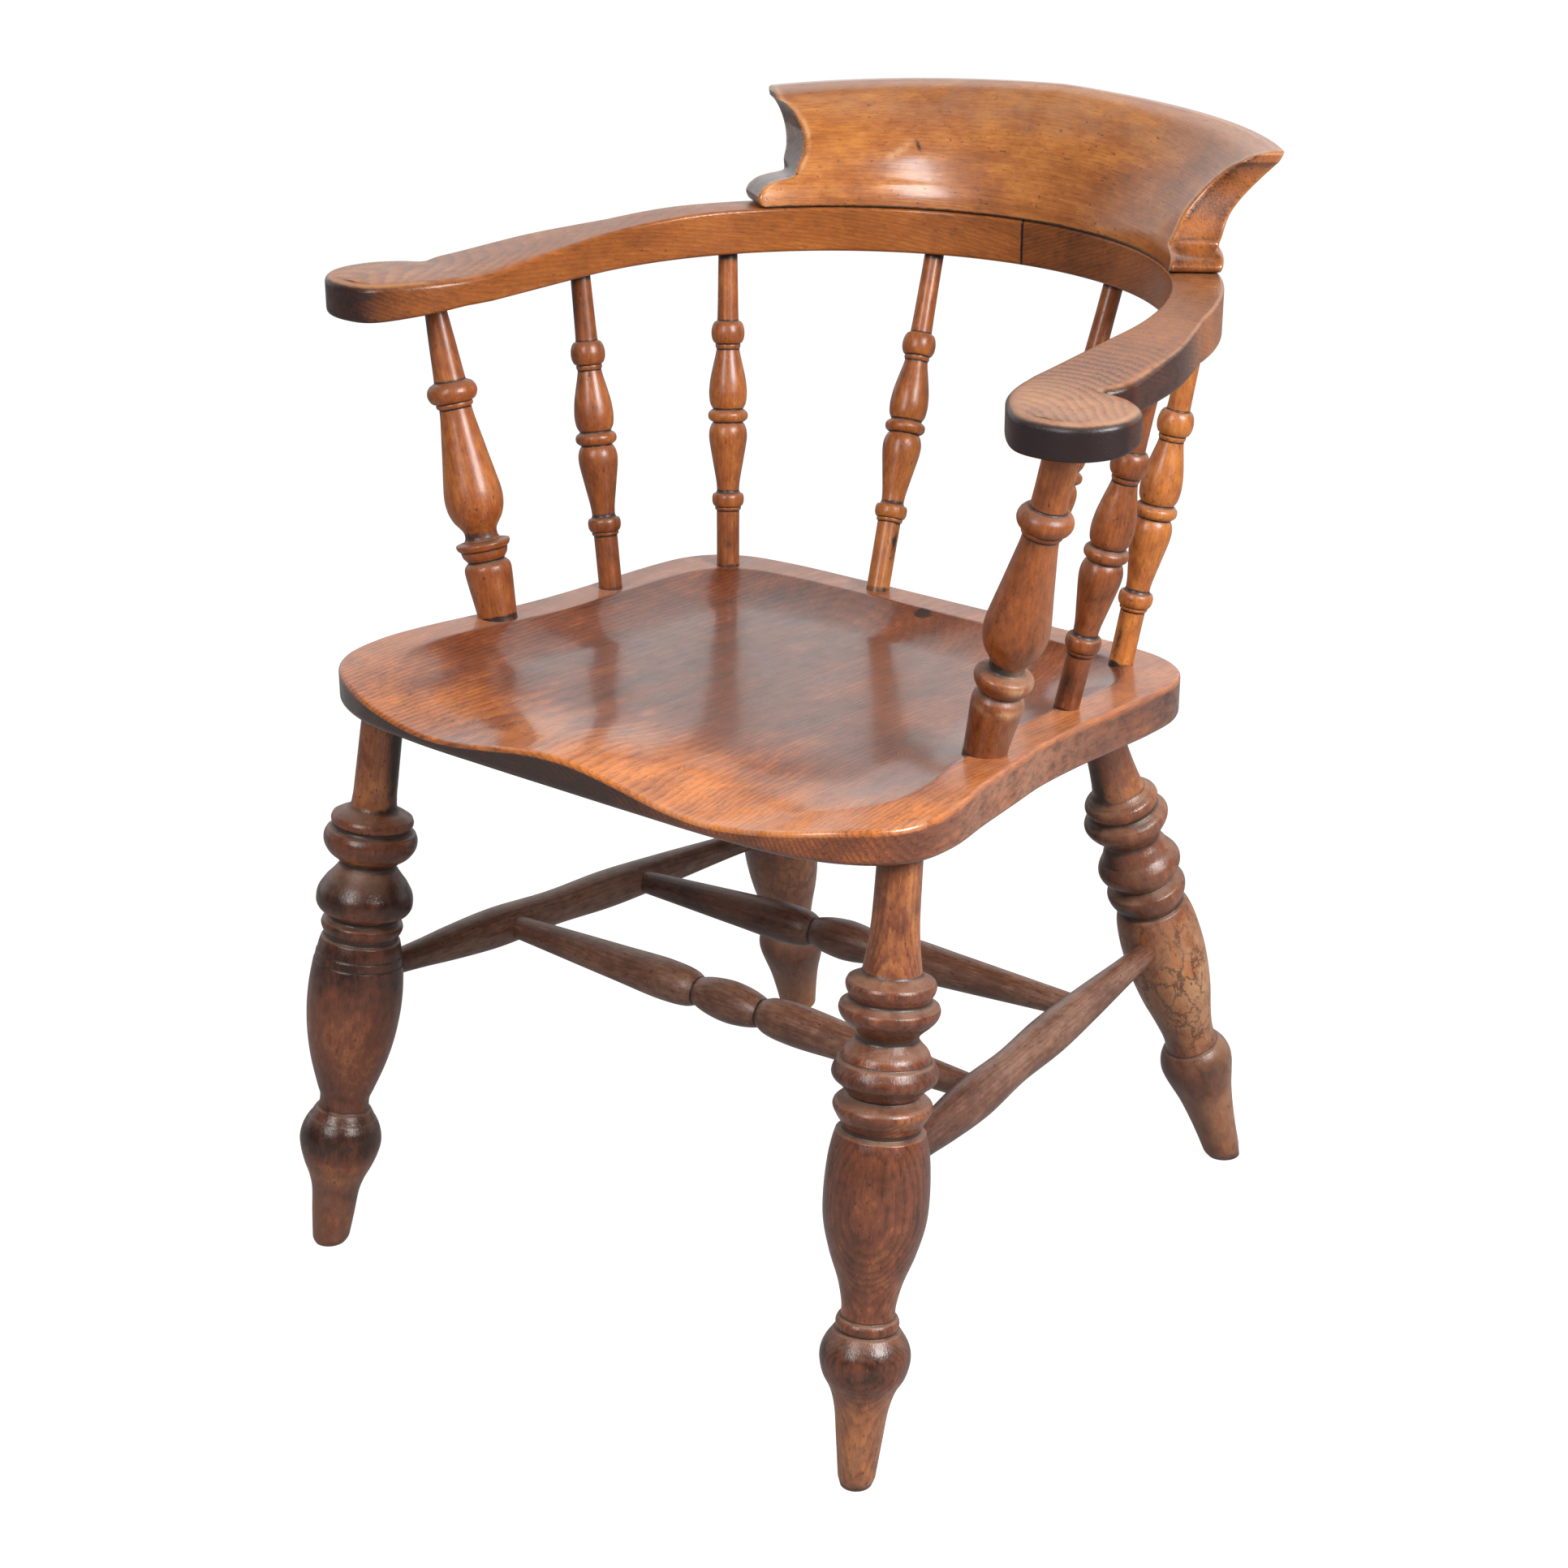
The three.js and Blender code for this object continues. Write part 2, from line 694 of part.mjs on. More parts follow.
function armOutline() {
  const joint_degrees = 90 + bow_joint_overrun_degrees;
  const paw_width = paw_outer_x - paw_inner_x;
  const paw_length = paw_root_y - paw_front_y;
  const smoothed = (shares, steps) => {
    const places = shares.map(
      ([across, along]) =>
        new THREE.Vector2(paw_inner_x + across * paw_width, paw_front_y + along * paw_length),
    );
    return new THREE.SplineCurve(places).getPoints(steps).map((place) => [place.x, place.y]);
  };
  return [
    ...arcPoints(bow_outer_radius, joint_degrees, bow_outer_end_degrees),
    ...smoothed(arm_flank_shares, arm_flank_steps),
    ...smoothed(paw_shares, paw_steps).slice(1),
    ...arcPoints(bow_inner_radius, 0, joint_degrees),
  ];
}

function armGeometry(sign) {
  const points = armOutline().map(([x, y]) => new THREE.Vector2(x * sign, y));
  const shape = new THREE.Shape(points);
  const step = arm_edge_round;
  const geometry = new THREE.ExtrudeGeometry(shape, {
    depth: step,
    bevelEnabled: true,
    bevelThickness: step,
    bevelSize: arm_edge_round,
    bevelOffset: -arm_edge_round,
    bevelSegments: 1,
    curveSegments: 1,
  });
  const position = geometry.getAttribute("position");
  for (let i = 0; i < position.count; i += 1) {
    const top = bowTop(position.getY(i));
    // The extrusion has four levels: underside, two ends of the straight side, top
    const levels = [
      bow_underside_height,
      bow_underside_height + arm_edge_round,
      top - arm_edge_round,
      top,
    ];
    position.setZ(i, levels[Math.round(position.getZ(i) / step) + 1]);
  }
  return geometry;
}

for (const side of sides) {
  const block = 2 * bow_outer_radius;
  bow_cutters[side.label].push({
    geometry: new THREE.BoxGeometry(block, block, block),
    matrix: new THREE.Matrix4().makeTranslation(
      (fit_gap / 2 - block / 2) * side.sign,
      bow_outer_radius,
      bow_underside_height,
    ),
  });
  piece(`arm_bow_${side.label}`, "bow", armGeometry(side.sign), still, bow_cutters[side.label]);
}

// Crest rail: a block whose three directions become sweep, height and thickness
function crestGeometry() {
  const row_steps = crest_section_shares.length - 1;
  const geometry = new THREE.BoxGeometry(1, 1, 1, crest_columns, crest_layers, row_steps);
  const position = geometry.getAttribute("position");
  const foot_height = bow_back_top_height + fit_gap;
  for (let i = 0; i < position.count; i += 1) {
    const sweep = position.getX(i) * 2;
    const depth_share = position.getY(i) + 0.5;
    const row = Math.round((position.getZ(i) + 0.5) * row_steps);
    const [rise, front_share, back_share] = crest_section_shares[row];
    const [front_end, back_end] = crest_end_degrees[row];
    const outward = Math.abs(sweep);
    const flare = mix(
      crest_middle_flare,
      crest_end_flare,
      Math.sin((Math.PI / 2) * outward) ** crest_flare_power,
    );
    const top =
      bow_back_top_height + mix(crest_middle_rise, crest_end_rise, outward ** crest_droop_power);
    const front = front_share * flare;
    const back = mix(crest_base_width, flare, back_share);
    const end = mix(front_end, back_end, depth_share);
    const angle = THREE.MathUtils.degToRad(90 - sweep * (90 - end));
    const reach = bow_inner_radius + mix(front, back, depth_share);
    position.setXYZ(
      i,
      reach * Math.cos(angle),
      bow_centre_y + reach * Math.sin(angle),
      mix(foot_height, top, rise),
    );
  }
  return geometry;
}

piece("crest_rail", "crest", crestGeometry(), still, crest_cutters);

// Origin: bottom centre of the whole chair's box
chair.updateMatrixWorld(true);
const box = new THREE.Box3().setFromObject(chair, true);
const middle = box.getCenter(new THREE.Vector3());
chair.position.set(-middle.x, -middle.y, -box.min.z);

export default chair;
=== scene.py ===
"""Captain's chair: an old low-backed wooden armchair with turned legs and spindles.

Shapes are worked out in millimetres about the plan datum of the chair's maker, and go
into Blender in metres. The sitter faces -Y and the floor is at z = 0.
"""
import math

import bmesh
import bpy
import numpy as np
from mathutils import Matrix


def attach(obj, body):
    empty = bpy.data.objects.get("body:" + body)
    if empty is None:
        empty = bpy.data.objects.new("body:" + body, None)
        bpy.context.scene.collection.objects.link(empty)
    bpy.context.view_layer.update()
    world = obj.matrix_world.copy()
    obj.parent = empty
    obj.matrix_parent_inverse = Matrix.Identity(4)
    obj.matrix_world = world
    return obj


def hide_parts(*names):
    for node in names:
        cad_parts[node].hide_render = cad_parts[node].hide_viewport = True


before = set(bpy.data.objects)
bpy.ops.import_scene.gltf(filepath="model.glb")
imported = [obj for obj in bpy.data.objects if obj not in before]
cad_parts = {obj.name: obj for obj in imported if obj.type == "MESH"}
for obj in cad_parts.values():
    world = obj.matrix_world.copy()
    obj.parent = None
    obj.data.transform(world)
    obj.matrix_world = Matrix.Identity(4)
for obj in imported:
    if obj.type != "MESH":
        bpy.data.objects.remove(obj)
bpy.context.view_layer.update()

MM = 0.001
half_pi = math.pi / 2
weld_distance = 2e-6
# From the plan datum to the chair's origin, the middle of its box
plan_shift = np.array([0.0, -29.479, 0.0])


# Camera, at the photograph's height, angle and lens
camera_place = (1.16082, -1.51302, 1.11058)
camera_pitch = math.radians(67.6373)
camera_turn = math.radians(38.2155)
camera_lens = 68.34
camera_sensor = 36

camera_data = bpy.data.cameras.new("portrait_camera")
camera_data.lens = camera_lens
camera_data.sensor_width = camera_sensor
camera = bpy.data.objects.new("portrait_camera", camera_data)
camera.location = camera_place
camera.rotation_euler = (camera_pitch, 0, camera_turn)
bpy.context.scene.collection.objects.link(camera)
bpy.context.scene.camera = camera
bpy.context.scene.view_settings.view_transform = "Standard"


# Small sums that the shapes share
def mix(a, b, share):
    return a + (b - a) * share


def soft_step(value, low, high):
    """0 up to low, 1 from high on, and 3t^2 - 2t^3 of the share t between them."""
    t = np.clip((value - low) / (high - low), 0, 1)
    return t * t * (3 - 2 * t)


def patch(across, along, reach_across, reach_along):
    """A soft spot: e to the minus squared distance, counted in reaches."""
    return np.exp(-(across / reach_across) ** 2 - (along / reach_along) ** 2)


def unit(vector):
    return vector / np.linalg.norm(vector)


def fair_curve(points, spacing, corners=(), knot_power=0.5):
    """Catmull-Rom curve through points, broken at the corner rows, in steps of about spacing.

    Between rows b and c it blends the lines through a, b, c and d three times over, with
    knots set apart by the distance between the rows to the power knot_power.
    """
    stops = [0, *[c for c in corners if 0 < c < len(points) - 1], len(points) - 1]
    made = []
    for first, last in zip(stops[:-1], stops[1:]):
        run = points[first:last + 1]
        run = np.vstack([2 * run[0] - run[1], run, 2 * run[-1] - run[-2]])
        for a, b, c, d in zip(run[:-3], run[1:-2], run[2:-1], run[3:]):
            gaps = np.linalg.norm([b - a, c - b, d - c], axis=1) ** knot_power
            t0, t1, t2, t3 = np.concatenate([[0], np.cumsum(gaps)])
            steps = max(1, int(np.linalg.norm(c - b) / spacing + 0.5))
            t = np.linspace(t1, t2, steps, endpoint=False)[:, None]
            ab = a + (b - a) * (t - t0) / (t1 - t0)
            bc = b + (c - b) * (t - t1) / (t2 - t1)
            cd = c + (d - c) * (t - t2) / (t3 - t2)
            abc = ab + (bc - ab) * (t - t0) / (t2 - t0)
            bcd = bc + (cd - bc) * (t - t1) / (t3 - t1)
            made.append(abc + (bcd - abc) * (t - t1) / (t2 - t1))
    made.append(points[-1:])
    return np.concatenate(made)


def evenly(curve, count):
    """The curve again as count points at equal distances along it."""
    run = np.concatenate([[0], np.cumsum(np.linalg.norm(np.diff(curve, axis=0), axis=1))])
    places = np.linspace(0, run[-1], count)
    return np.stack([np.interp(places, run, column) for column in curve.T], axis=1)


def net_faces(rows, columns, loop):
    """Four-cornered faces between neighbouring rows and columns; a loop's last column meets its first."""
    width = columns if loop else columns - 1
    row, column = np.meshgrid(np.arange(rows - 1), np.arange(width), indexing="ij")
    after = (column + 1) % columns
    near, far = row * columns, (row + 1) * columns
    return np.stack([near + column, near + after, far + after, far + column], axis=-1).reshape(-1, 4)


# What the wood's finish reads at each point, and its usual value
wood_marks = {"tone": 0.5, "figure": 1.0, "grime": 0.0, "bare": 0.0, "dust": 0.0, "crazed": 0.0}


def add_piece(name, node, nets, finish):
    """One closed piece from nets of points, welded where they meet and turned outwards.

    Each net is (points in mm as rows x columns x 3, their places in the sawn plank, their
    marks, and whether its rows are loops).
    """
    points, timber, faces = [], [], []
    marks = {key: [] for key in wood_marks}
    start = 0
    for net, plank, given, loop in nets:
        shape = net.shape[:2]
        points.append((net + plan_shift).reshape(-1, 3))
        timber.append(np.broadcast_to(plank, net.shape).reshape(-1, 3))
        faces.append(net_faces(*shape, loop) + start)
        start += shape[0] * shape[1]
        for key, usual in wood_marks.items():
            marks[key].append(np.broadcast_to(given.get(key, usual), shape).ravel())
    mesh = bpy.data.meshes.new(name)
    mesh.from_pydata(np.concatenate(points) * MM, [], np.concatenate(faces))
    places = np.concatenate(timber).astype(np.float32)
    mesh.attributes.new("timber", "FLOAT_VECTOR", "POINT").data.foreach_set("vector", places.ravel())
    for key, values in marks.items():
        values = np.clip(np.concatenate(values), 0, 1).astype(np.float32)
        mesh.attributes.new(key, "FLOAT", "POINT").data.foreach_set("value", values)
    shell = bmesh.new()
    shell.from_mesh(mesh)
    bmesh.ops.remove_doubles(shell, verts=shell.verts, dist=weld_distance)
    bmesh.ops.recalc_face_normals(shell, faces=shell.faces)
    shell.to_mesh(mesh)
    shell.free()
    mesh.shade_smooth()
    mesh.materials.append(finish)
    piece = bpy.data.objects.new(name, mesh)
    bpy.context.scene.collection.objects.link(piece)
    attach(piece, "root")
    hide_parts(node)


def worn(*rows):
    """Marks as sums: each row is an area from 0 to 1 and the strength of each mark in it."""
    marks = {}
    for area, strengths in rows:
        for mark, strength in strengths.items():
            marks[mark] = marks.get(mark, 0.0) + strength * area
    return marks


# Finishes
def linear(colour):
    """The linear colour of an sRGB hex value."""
    channels = np.array([colour >> 16 & 255, colour >> 8 & 255, colour & 255]) / 255
    curved = np.where(channels <= 0.04045, channels / 12.92, ((channels + 0.055) / 1.055) ** 2.4)
    return (*curved.tolist(), 1.0)


def add(tree, name, kind, links=None, **settings):
    """One named node. An input takes a value, or as text the name of the node that feeds it.

    The text takes that node's first output, or after a slash the output's own name or number.
    """
    node = tree.nodes.new("ShaderNode" + kind)
    node.name = name
    for key, value in settings.items():
        setattr(node, key, value)
    for key, value in (links or {}).items():
        if isinstance(value, str):
            source, _, output = value.partition("/")
            output = int(output or 0) if output.isdigit() or not output else output
            tree.links.new(tree.nodes[source].outputs[output], node.inputs[key])
        else:
            node.inputs[key].default_value = value
    return node


def empty_material(name):
    material = bpy.data.materials.new(name)
    material.use_nodes = True
    material.node_tree.nodes.clear()
    return material


times = {"operation": "MULTIPLY"}
clamped_times = {"operation": "MULTIPLY", "use_clamp": True}
times_and_add = {"operation": "MULTIPLY_ADD"}
larger = {"operation": "MAXIMUM"}
soft = {"interpolation_type": "SMOOTHSTEP"}
stain = {"data_type": "RGBA"}
# Lumps of figure and wear: size across and along the grain in mm, then the noise's detail and
# roughness. Real vessels are 0.2 mm wide and are drawn near 1 mm so that they show.
wood_lumps = {
    "wander": (70, 260, 2.0, 0.5),
    "fibre": (1.5, 60, 3.0, 0.6),
    "vessel": (0.9, 13, 1.0, 0.5),
    "blotch": (26, 60, 3.0, 0.6),
    "mottle": (5.5, 9, 4.0, 0.7),
    "speck": (2.6, 4.5, 3.0, 0.6),
    "smudge": (13, 17, 3.0, 0.6),
}
ring_wander = 12.0
crack_cell = (12.0, 12.0, 22.0)
# The level at which each figure starts (input 1) and is full (input 2), and its least and most
late_wood_level = {1: 0.25, 2: 0.97}
pore_level = {1: 0.58, 2: 0.68}
worn_level = {1: 0.32, 2: 0.58}
grime_level = {1: 0.7, 2: 1.1}
fleck_level = {1: 0.62, 2: 0.72}
crack_level = {1: 0.01, 2: 0.09, 3: 1.0, 4: 0.0}
cracked_level = {1: 0.4, 2: 0.55, 3: 0.15}
dust_level = {1: 0.3, 2: 0.65, 3: 0.4, 4: 0.95}
middle_tone = 0.5
mottle_in_grime = 0.9
grime_in_flecks = 0.1
# What each adds to the roughness, and to the height in shares of the relief's depth in metres
smudges_dull, dust_dulls, dirt_dulls = 0.2, 0.35, 0.1
smudge_height, pore_height, dirt_height = 0.5, -0.5, -0.4
relief_depth = 0.0006


def old_timber(
    name, tones, ring_spacing, rings, pores, gloss, blotch=0.9, fibre=0.5, mottle=0.6, flecks=0.5,
    grime=0x24140F, dust=0x8C6C58, bare=0xC99A70, coat=0.0, coat_roughness=0.15, relief=0.35,
):
    """Hand-polished hardwood, solid through: its figure is cut from yearly rings about a pith line.

    The mark timber is each point's place in the sawn plank, in mm, with the grain along z. Tones
    are the dark, middle and light hex colours that the mark tone runs through, with blotch, fibre
    and mottle as the spread of each lump's tone and rings as the darkening of late wood. Ring
    spacing is in mm, and gloss is the bare polish's roughness.
    """
    material = empty_material(name)
    tree = material.node_tree
    dark, middle, light, grime, dust, bare = [linear(colour) for colour in (*tones, grime, dust, bare)]
    add(tree, "timber", "Attribute", attribute_name="timber")
    for key in wood_marks:
        add(tree, key, "Attribute", attribute_name=key)
    for key, (across, along, detail, rough) in wood_lumps.items():
        size = {0: "timber/Vector", 1: (1 / across, 1 / across, 1 / along)}
        add(tree, key + " place", "VectorMath", size, **times)
        noise = {"Vector": key + " place", "Scale": 1.0, "Detail": detail, "Roughness": rough}
        add(tree, key, "TexNoise", noise)
    # Growth rings: the distance from the pith, which wanders by a few mm along the plank
    drift = {0: "wander/Color", 1: (ring_wander, ring_wander, 0.0), 2: "timber/Vector"}
    add(tree, "bent grain", "VectorMath", drift, **times_and_add)
    add(tree, "flat grain", "VectorMath", {0: "bent grain", 1: (1.0, 1.0, 0.0)}, **times)
    add(tree, "pith distance", "VectorMath", {0: "flat grain"}, operation="LENGTH")
    years = {0: "pith distance/Value", 1: 1 / ring_spacing, 2: "fibre"}
    add(tree, "years", "Math", years, **times_and_add)
    add(tree, "year share", "Math", {0: "years"}, operation="FRACT")
    add(tree, "late wood", "MapRange", {0: "year share", **late_wood_level}, **soft)
    add(tree, "figured", "Math", {0: "late wood", 1: "figure/Fac"}, **times)
    # The tone, from its mark and the lumps, and the three colours that it runs through
    add(tree, "blotched", "Math", {0: "blotch", 1: blotch, 2: "tone/Fac"}, **times_and_add)
    add(tree, "streaked", "Math", {0: "fibre", 1: fibre, 2: "blotched"}, **times_and_add)
    add(tree, "mottled", "Math", {0: "mottle", 1: mottle, 2: "streaked"}, **times_and_add)
    add(tree, "ringed", "Math", {0: "figured", 1: -rings, 2: "mottled"}, **times_and_add)
    low = (blotch + fibre + mottle) / 2
    add(tree, "to middle", "MapRange", {0: "ringed", 1: low, 2: low + middle_tone})
    add(tree, "to light", "MapRange", {0: "ringed", 1: low + middle_tone, 2: low + 1})
    add(tree, "brown wood", "Mix", {0: "to middle", 6: dark, 7: middle}, **stain)
    add(tree, "toned wood", "Mix", {0: "to light", 6: "brown wood/2", 7: light}, **stain)
    add(tree, "open pores", "MapRange", {0: "vessel", **pore_level, 4: pores}, **soft)
    add(tree, "pored wood", "Mix", {0: "open pores", 6: "toned wood/2", 7: grime}, **stain)
    # Wear: rubbed edges, grime in patches, specks, cracked polish and dust
    add(tree, "worn patches", "MapRange", {0: "smudge", **worn_level}, **soft)
    add(tree, "worn", "Math", {0: "bare/Fac", 1: "worn patches"}, **clamped_times)
    add(tree, "worn wood", "Mix", {0: "worn", 6: "pored wood/2", 7: bare}, **stain)
    add(tree, "grime level", "Math", {0: "mottle", 1: mottle_in_grime, 2: "grime/Fac"}, **times_and_add)
    add(tree, "grimy", "MapRange", {0: "grime level", **grime_level}, **soft)
    add(tree, "speck level", "Math", {0: "grime/Fac", 1: grime_in_flecks, 2: "speck"}, **times_and_add)
    add(tree, "flecks", "MapRange", {0: "speck level", **fleck_level, 4: flecks}, **soft)
    cell = {0: "timber/Vector", 1: tuple(1 / size for size in crack_cell), 2: "mottle/Color"}
    add(tree, "crack place", "VectorMath", cell, **times_and_add)
    net = {"Vector": "crack place", "Scale": 1.0}
    add(tree, "crack net", "TexVoronoi", net, feature="DISTANCE_TO_EDGE")
    add(tree, "cracks", "MapRange", {0: "crack net", **crack_level}, **soft)
    add(tree, "cracked patches", "MapRange", {0: "blotch", **cracked_level}, **soft)
    add(tree, "here and there", "Math", {0: "cracks", 1: "cracked patches"}, **times)
    add(tree, "crazing", "Math", {0: "here and there", 1: "crazed/Fac"}, **times)
    add(tree, "dirt", "Math", {0: "grimy", 1: "flecks"}, **larger)
    add(tree, "all dirt", "Math", {0: "dirt", 1: "crazing"}, **larger)
    add(tree, "dirty wood", "Mix", {0: "all dirt", 6: "worn wood/2", 7: grime}, **stain)
    add(tree, "dust patches", "MapRange", {0: "smudge", **dust_level}, **soft)
    add(tree, "dusty", "Math", {0: "dust/Fac", 1: "dust patches"}, **clamped_times)
    add(tree, "wood", "Mix", {0: "dusty", 6: "dirty wood/2", 7: dust}, **stain)
    # Gloss: patchy polish, dull where there is dust or grime
    patchy = {0: "smudge", 1: smudges_dull, 2: gloss - smudges_dull / 2}
    add(tree, "patchy polish", "Math", patchy, **times_and_add)
    add(tree, "dusty polish", "Math", {0: "dusty", 1: dust_dulls, 2: "patchy polish"}, **times_and_add)
    add(tree, "roughness", "Math", {0: "all dirt", 1: dirt_dulls, 2: "dusty polish"}, **times_and_add)
    # Relief: dents a third of a mm deep, raised fibres, open pores and sunk dirt
    add(tree, "dents", "Math", {0: "smudge", 1: smudge_height, 2: "fibre"}, **times_and_add)
    pores_too = {0: "open pores", 1: pore_height, 2: "dents"}
    add(tree, "dents and pores", "Math", pores_too, **times_and_add)
    dirt_too = {0: "all dirt", 1: dirt_height, 2: "dents and pores"}
    add(tree, "height", "Math", dirt_too, **times_and_add)
    add(tree, "relief", "Bump", {"Strength": relief, "Distance": relief_depth, "Height": "height"})
    surface = {
        "Base Color": "wood/2", "Roughness": "roughness", "IOR": 1.5, "Normal": "relief",
        "Coat Weight": coat, "Coat Roughness": coat_roughness,
    }
    add(tree, "polished wood", "BsdfPrincipled", surface)
    add(tree, "output", "OutputMaterial", {"Surface": "polished wood"})
    return material


# Elm, dished by hand and waxed for a century: open pores and rings under a deep polish that mirrors
seat_finish = old_timber(
    "waxed_elm", tones=(0x34180C, 0x7C4022, 0xCC7732), ring_spacing=3.3, rings=0.17, pores=0.4, gloss=0.3,
    blotch=0.95, fibre=0.4, mottle=0.35, grime=0x28120A, dust=0xA07462, bare=0xBC8460,
    coat=0.5, coat_roughness=0.14,
)
# Turned legs: dark polish left on the beads, dry and mottled where it has gone
leg_finish = old_timber(
    "old_polished_leg_wood", tones=(0x28120D, 0x703B26, 0xB4703F), ring_spacing=2.0, rings=0.16,
    pores=0.1, gloss=0.23, blotch=0.9, fibre=0.15, mottle=0.9, flecks=0.85,
)
# Stretchers: dry and grey-brown from shoes and dust
stretcher_finish = old_timber(
    "dry_stretcher_wood", tones=(0x2C1813, 0x644031, 0x98705A), ring_spacing=2.6, rings=0.08,
    pores=0.3, gloss=0.36, mottle=0.7, flecks=0.7,
)
# Spindles and arm posts: clear amber shellac, with a smooth soft shine
upright_finish = old_timber(
    "shellacked_spindle_wood", tones=(0x401D0D, 0x8C4A20, 0xC47A34), ring_spacing=2.4, rings=0.06,
    pores=0.15, gloss=0.38, blotch=0.8, fibre=0.2, mottle=0.8, flecks=0.7,
    coat=0.15, coat_roughness=0.13, relief=0.2,
)
# Arm bow: orange-brown, rubbed smooth, black with hand grime round the paws
bow_finish = old_timber(
    "handled_bow_wood", tones=(0x401E0F, 0x90501F, 0xC27C38), ring_spacing=3.0, rings=0.5, pores=0.2,
    gloss=0.3, blotch=0.6, fibre=0.3, mottle=0.4, grime=0x221111, dust=0xB08C74,
    coat=0.1, coat_roughness=0.2,
)
# Crest rail: golden with fine level grain, dented and patchy
crest_finish = old_timber(
    "golden_crest_wood", tones=(0x562D15, 0x9C5926, 0xC9843C), ring_spacing=2.4, rings=0.06, pores=0.25,
    gloss=0.36, blotch=1.2, fibre=0.45, mottle=0.5, flecks=0.7, coat=1.0, coat_roughness=0.17,
)

# Dowels: raw beech that glue and wood hide, pale and dull with short flecks
dowel_finish = empty_material("raw_beech_dowel")
dowel_fleck_size = 0.0016
dowel_roughness = 0.7
tree = dowel_finish.node_tree
add(tree, "place", "TexCoord")
add(tree, "flecks", "TexNoise", {"Vector": "place/Object", "Scale": 1 / dowel_fleck_size})
add(tree, "beech", "Mix", {0: "flecks", 6: linear(0xA87C4E), 7: linear(0xC79C6C)}, **stain)
add(tree, "raw wood", "BsdfPrincipled", {"Base Color": "beech/2", "Roughness": dowel_roughness})
add(tree, "output", "OutputMaterial", {"Surface": "raw wood"})


# Turned pieces
turning_step = 0.7
turned_count = iter(range(1, 40))
# Each turning comes from its own plank, its pith some mm away
plank_step = 700
pith_distance = 18
pith_step = 4
pith_cycle = 4
# The slope, rise over run of the profile, where a ledge or an underside starts and is full
ledge_slope = (0.3, 0.85)
underside_slope = (0.2, 0.8)
upright_from = 0.5
# Undersides get a painted highlight, a lighter tone; ledges get a darker tone
underside_painted_highlight = 0.12
ledge_darker = 0.08
# A groove shows as a dip of so many mm under the mean of so many rows
wide_groove = (13, 0.8)
fine_groove = (5, 0.2)
turned_oval = 0.006
leg_oval = 0.01
towards_viewer = np.array([math.sin(camera_turn), -math.cos(camera_turn), 0.0])
viewer_right = np.array([math.cos(camera_turn), math.sin(camera_turn), 0.0])


def dip(radius, reach):
    """How far each row lies inside the mean of the rows within reach, weighed by a raised cosine."""
    window = np.hanning(reach + 2)[1:-1]
    padded = np.pad(radius, reach // 2, mode="edge")
    return np.convolve(padded, window / window.sum(), mode="valid") - radius


def turned(
    profile, around, start, direction, tone, facing=(0, -1, 0), oval=turned_oval, spots=(), **marks
):
    """Surface of revolution: every (distance, radius) row is a ring about the axis.

    The ring is wider by the share oval towards one side and its opposite, as dried timber
    is. The plank's flat-sawn side looks towards facing. Grooves gather grime, undersides
    get a painted highlight as a lighter tone, and ledges that face up gather the mark dust.
    Each spot is (mark, distance, side it lies on as shares towards the viewer and to the
    viewer's right, reach along, reach around, strength).
    """
    along, radius = profile.T
    count = next(turned_count)
    angle = np.linspace(0, 2 * math.pi, around, endpoint=False)
    wide = 1 + oval * np.cos(2 * (angle - count))
    x = radius[:, None] * np.cos(angle) * wide
    y = radius[:, None] * np.sin(angle) * wide
    direction = unit(direction)
    standing = direction[2] > upright_from
    level = np.array([0.0, 1.0, 0.0]) if standing else np.array([0.0, 0.0, 1.0])
    across = unit(np.cross(level, direction))
    upward = np.cross(direction, across)
    net = start + along[:, None, None] * direction + x[..., None] * across + y[..., None] * upward

    turn = math.atan2(np.dot(facing, upward), np.dot(facing, across))
    pith = pith_distance + pith_step * (count % pith_cycle)
    plank = np.stack([
        x * math.cos(turn) + y * math.sin(turn) + pith,
        y * math.cos(turn) - x * math.sin(turn),
        np.broadcast_to(along[:, None], x.shape) + plank_step * count,
    ], axis=-1)

    slope = -np.gradient(radius) / (np.hypot(np.gradient(along), np.gradient(radius)) + 1e-9)
    ledge = soft_step(slope, *ledge_slope) * standing
    underside = soft_step(-slope, *underside_slope) * standing
    grooved = sum(dip(radius, reach) / full for reach, full in (wide_groove, fine_groove))
    given = {key: np.asarray(value, float)[..., None] for key, value in marks.items()}
    given["tone"] = (tone + underside_painted_highlight * underside - ledge_darker * ledge)[:, None]
    given["grime"] = (np.clip(grooved, 0, 1) + marks.get("grime", 0.0))[:, None]
    given["dust"] = (ledge * marks.get("dust", 0.0) + given.pop("dull", np.zeros(1))[..., 0])[:, None]
    for mark, distance, (ahead, aside), reach_along, reach_around, strength in spots:
        lies_on = ahead * towards_viewer + aside * viewer_right
        spot_turn = math.atan2(np.dot(lies_on, upward), np.dot(lies_on, across))
        off = (angle - spot_turn + math.pi) % (2 * math.pi) - math.pi
        area = patch((along - distance)[:, None], radius[:, None] * off, reach_along, reach_around)
        given[mark] = given.get(mark, 0.0) + strength * area
    return net, plank, given, True


def with_corners(rows):
    """Rows of (share of length, share of radius) with a third column that is 1 at a crisp corner."""
    return np.array([(*row, 0)[:3] for row in rows], float)


def from_shares(rows, length, radius, raise_by=0.0):
    """A fair profile from shares of the length and radius; a row that ends in 1 is a crisp corner."""
    rows = with_corners(rows)
    points = rows[:, :2] * (length, radius)
    points[1:, 0] += raise_by
    return fair_curve(points, turning_step, np.flatnonzero(rows[:, 2]))


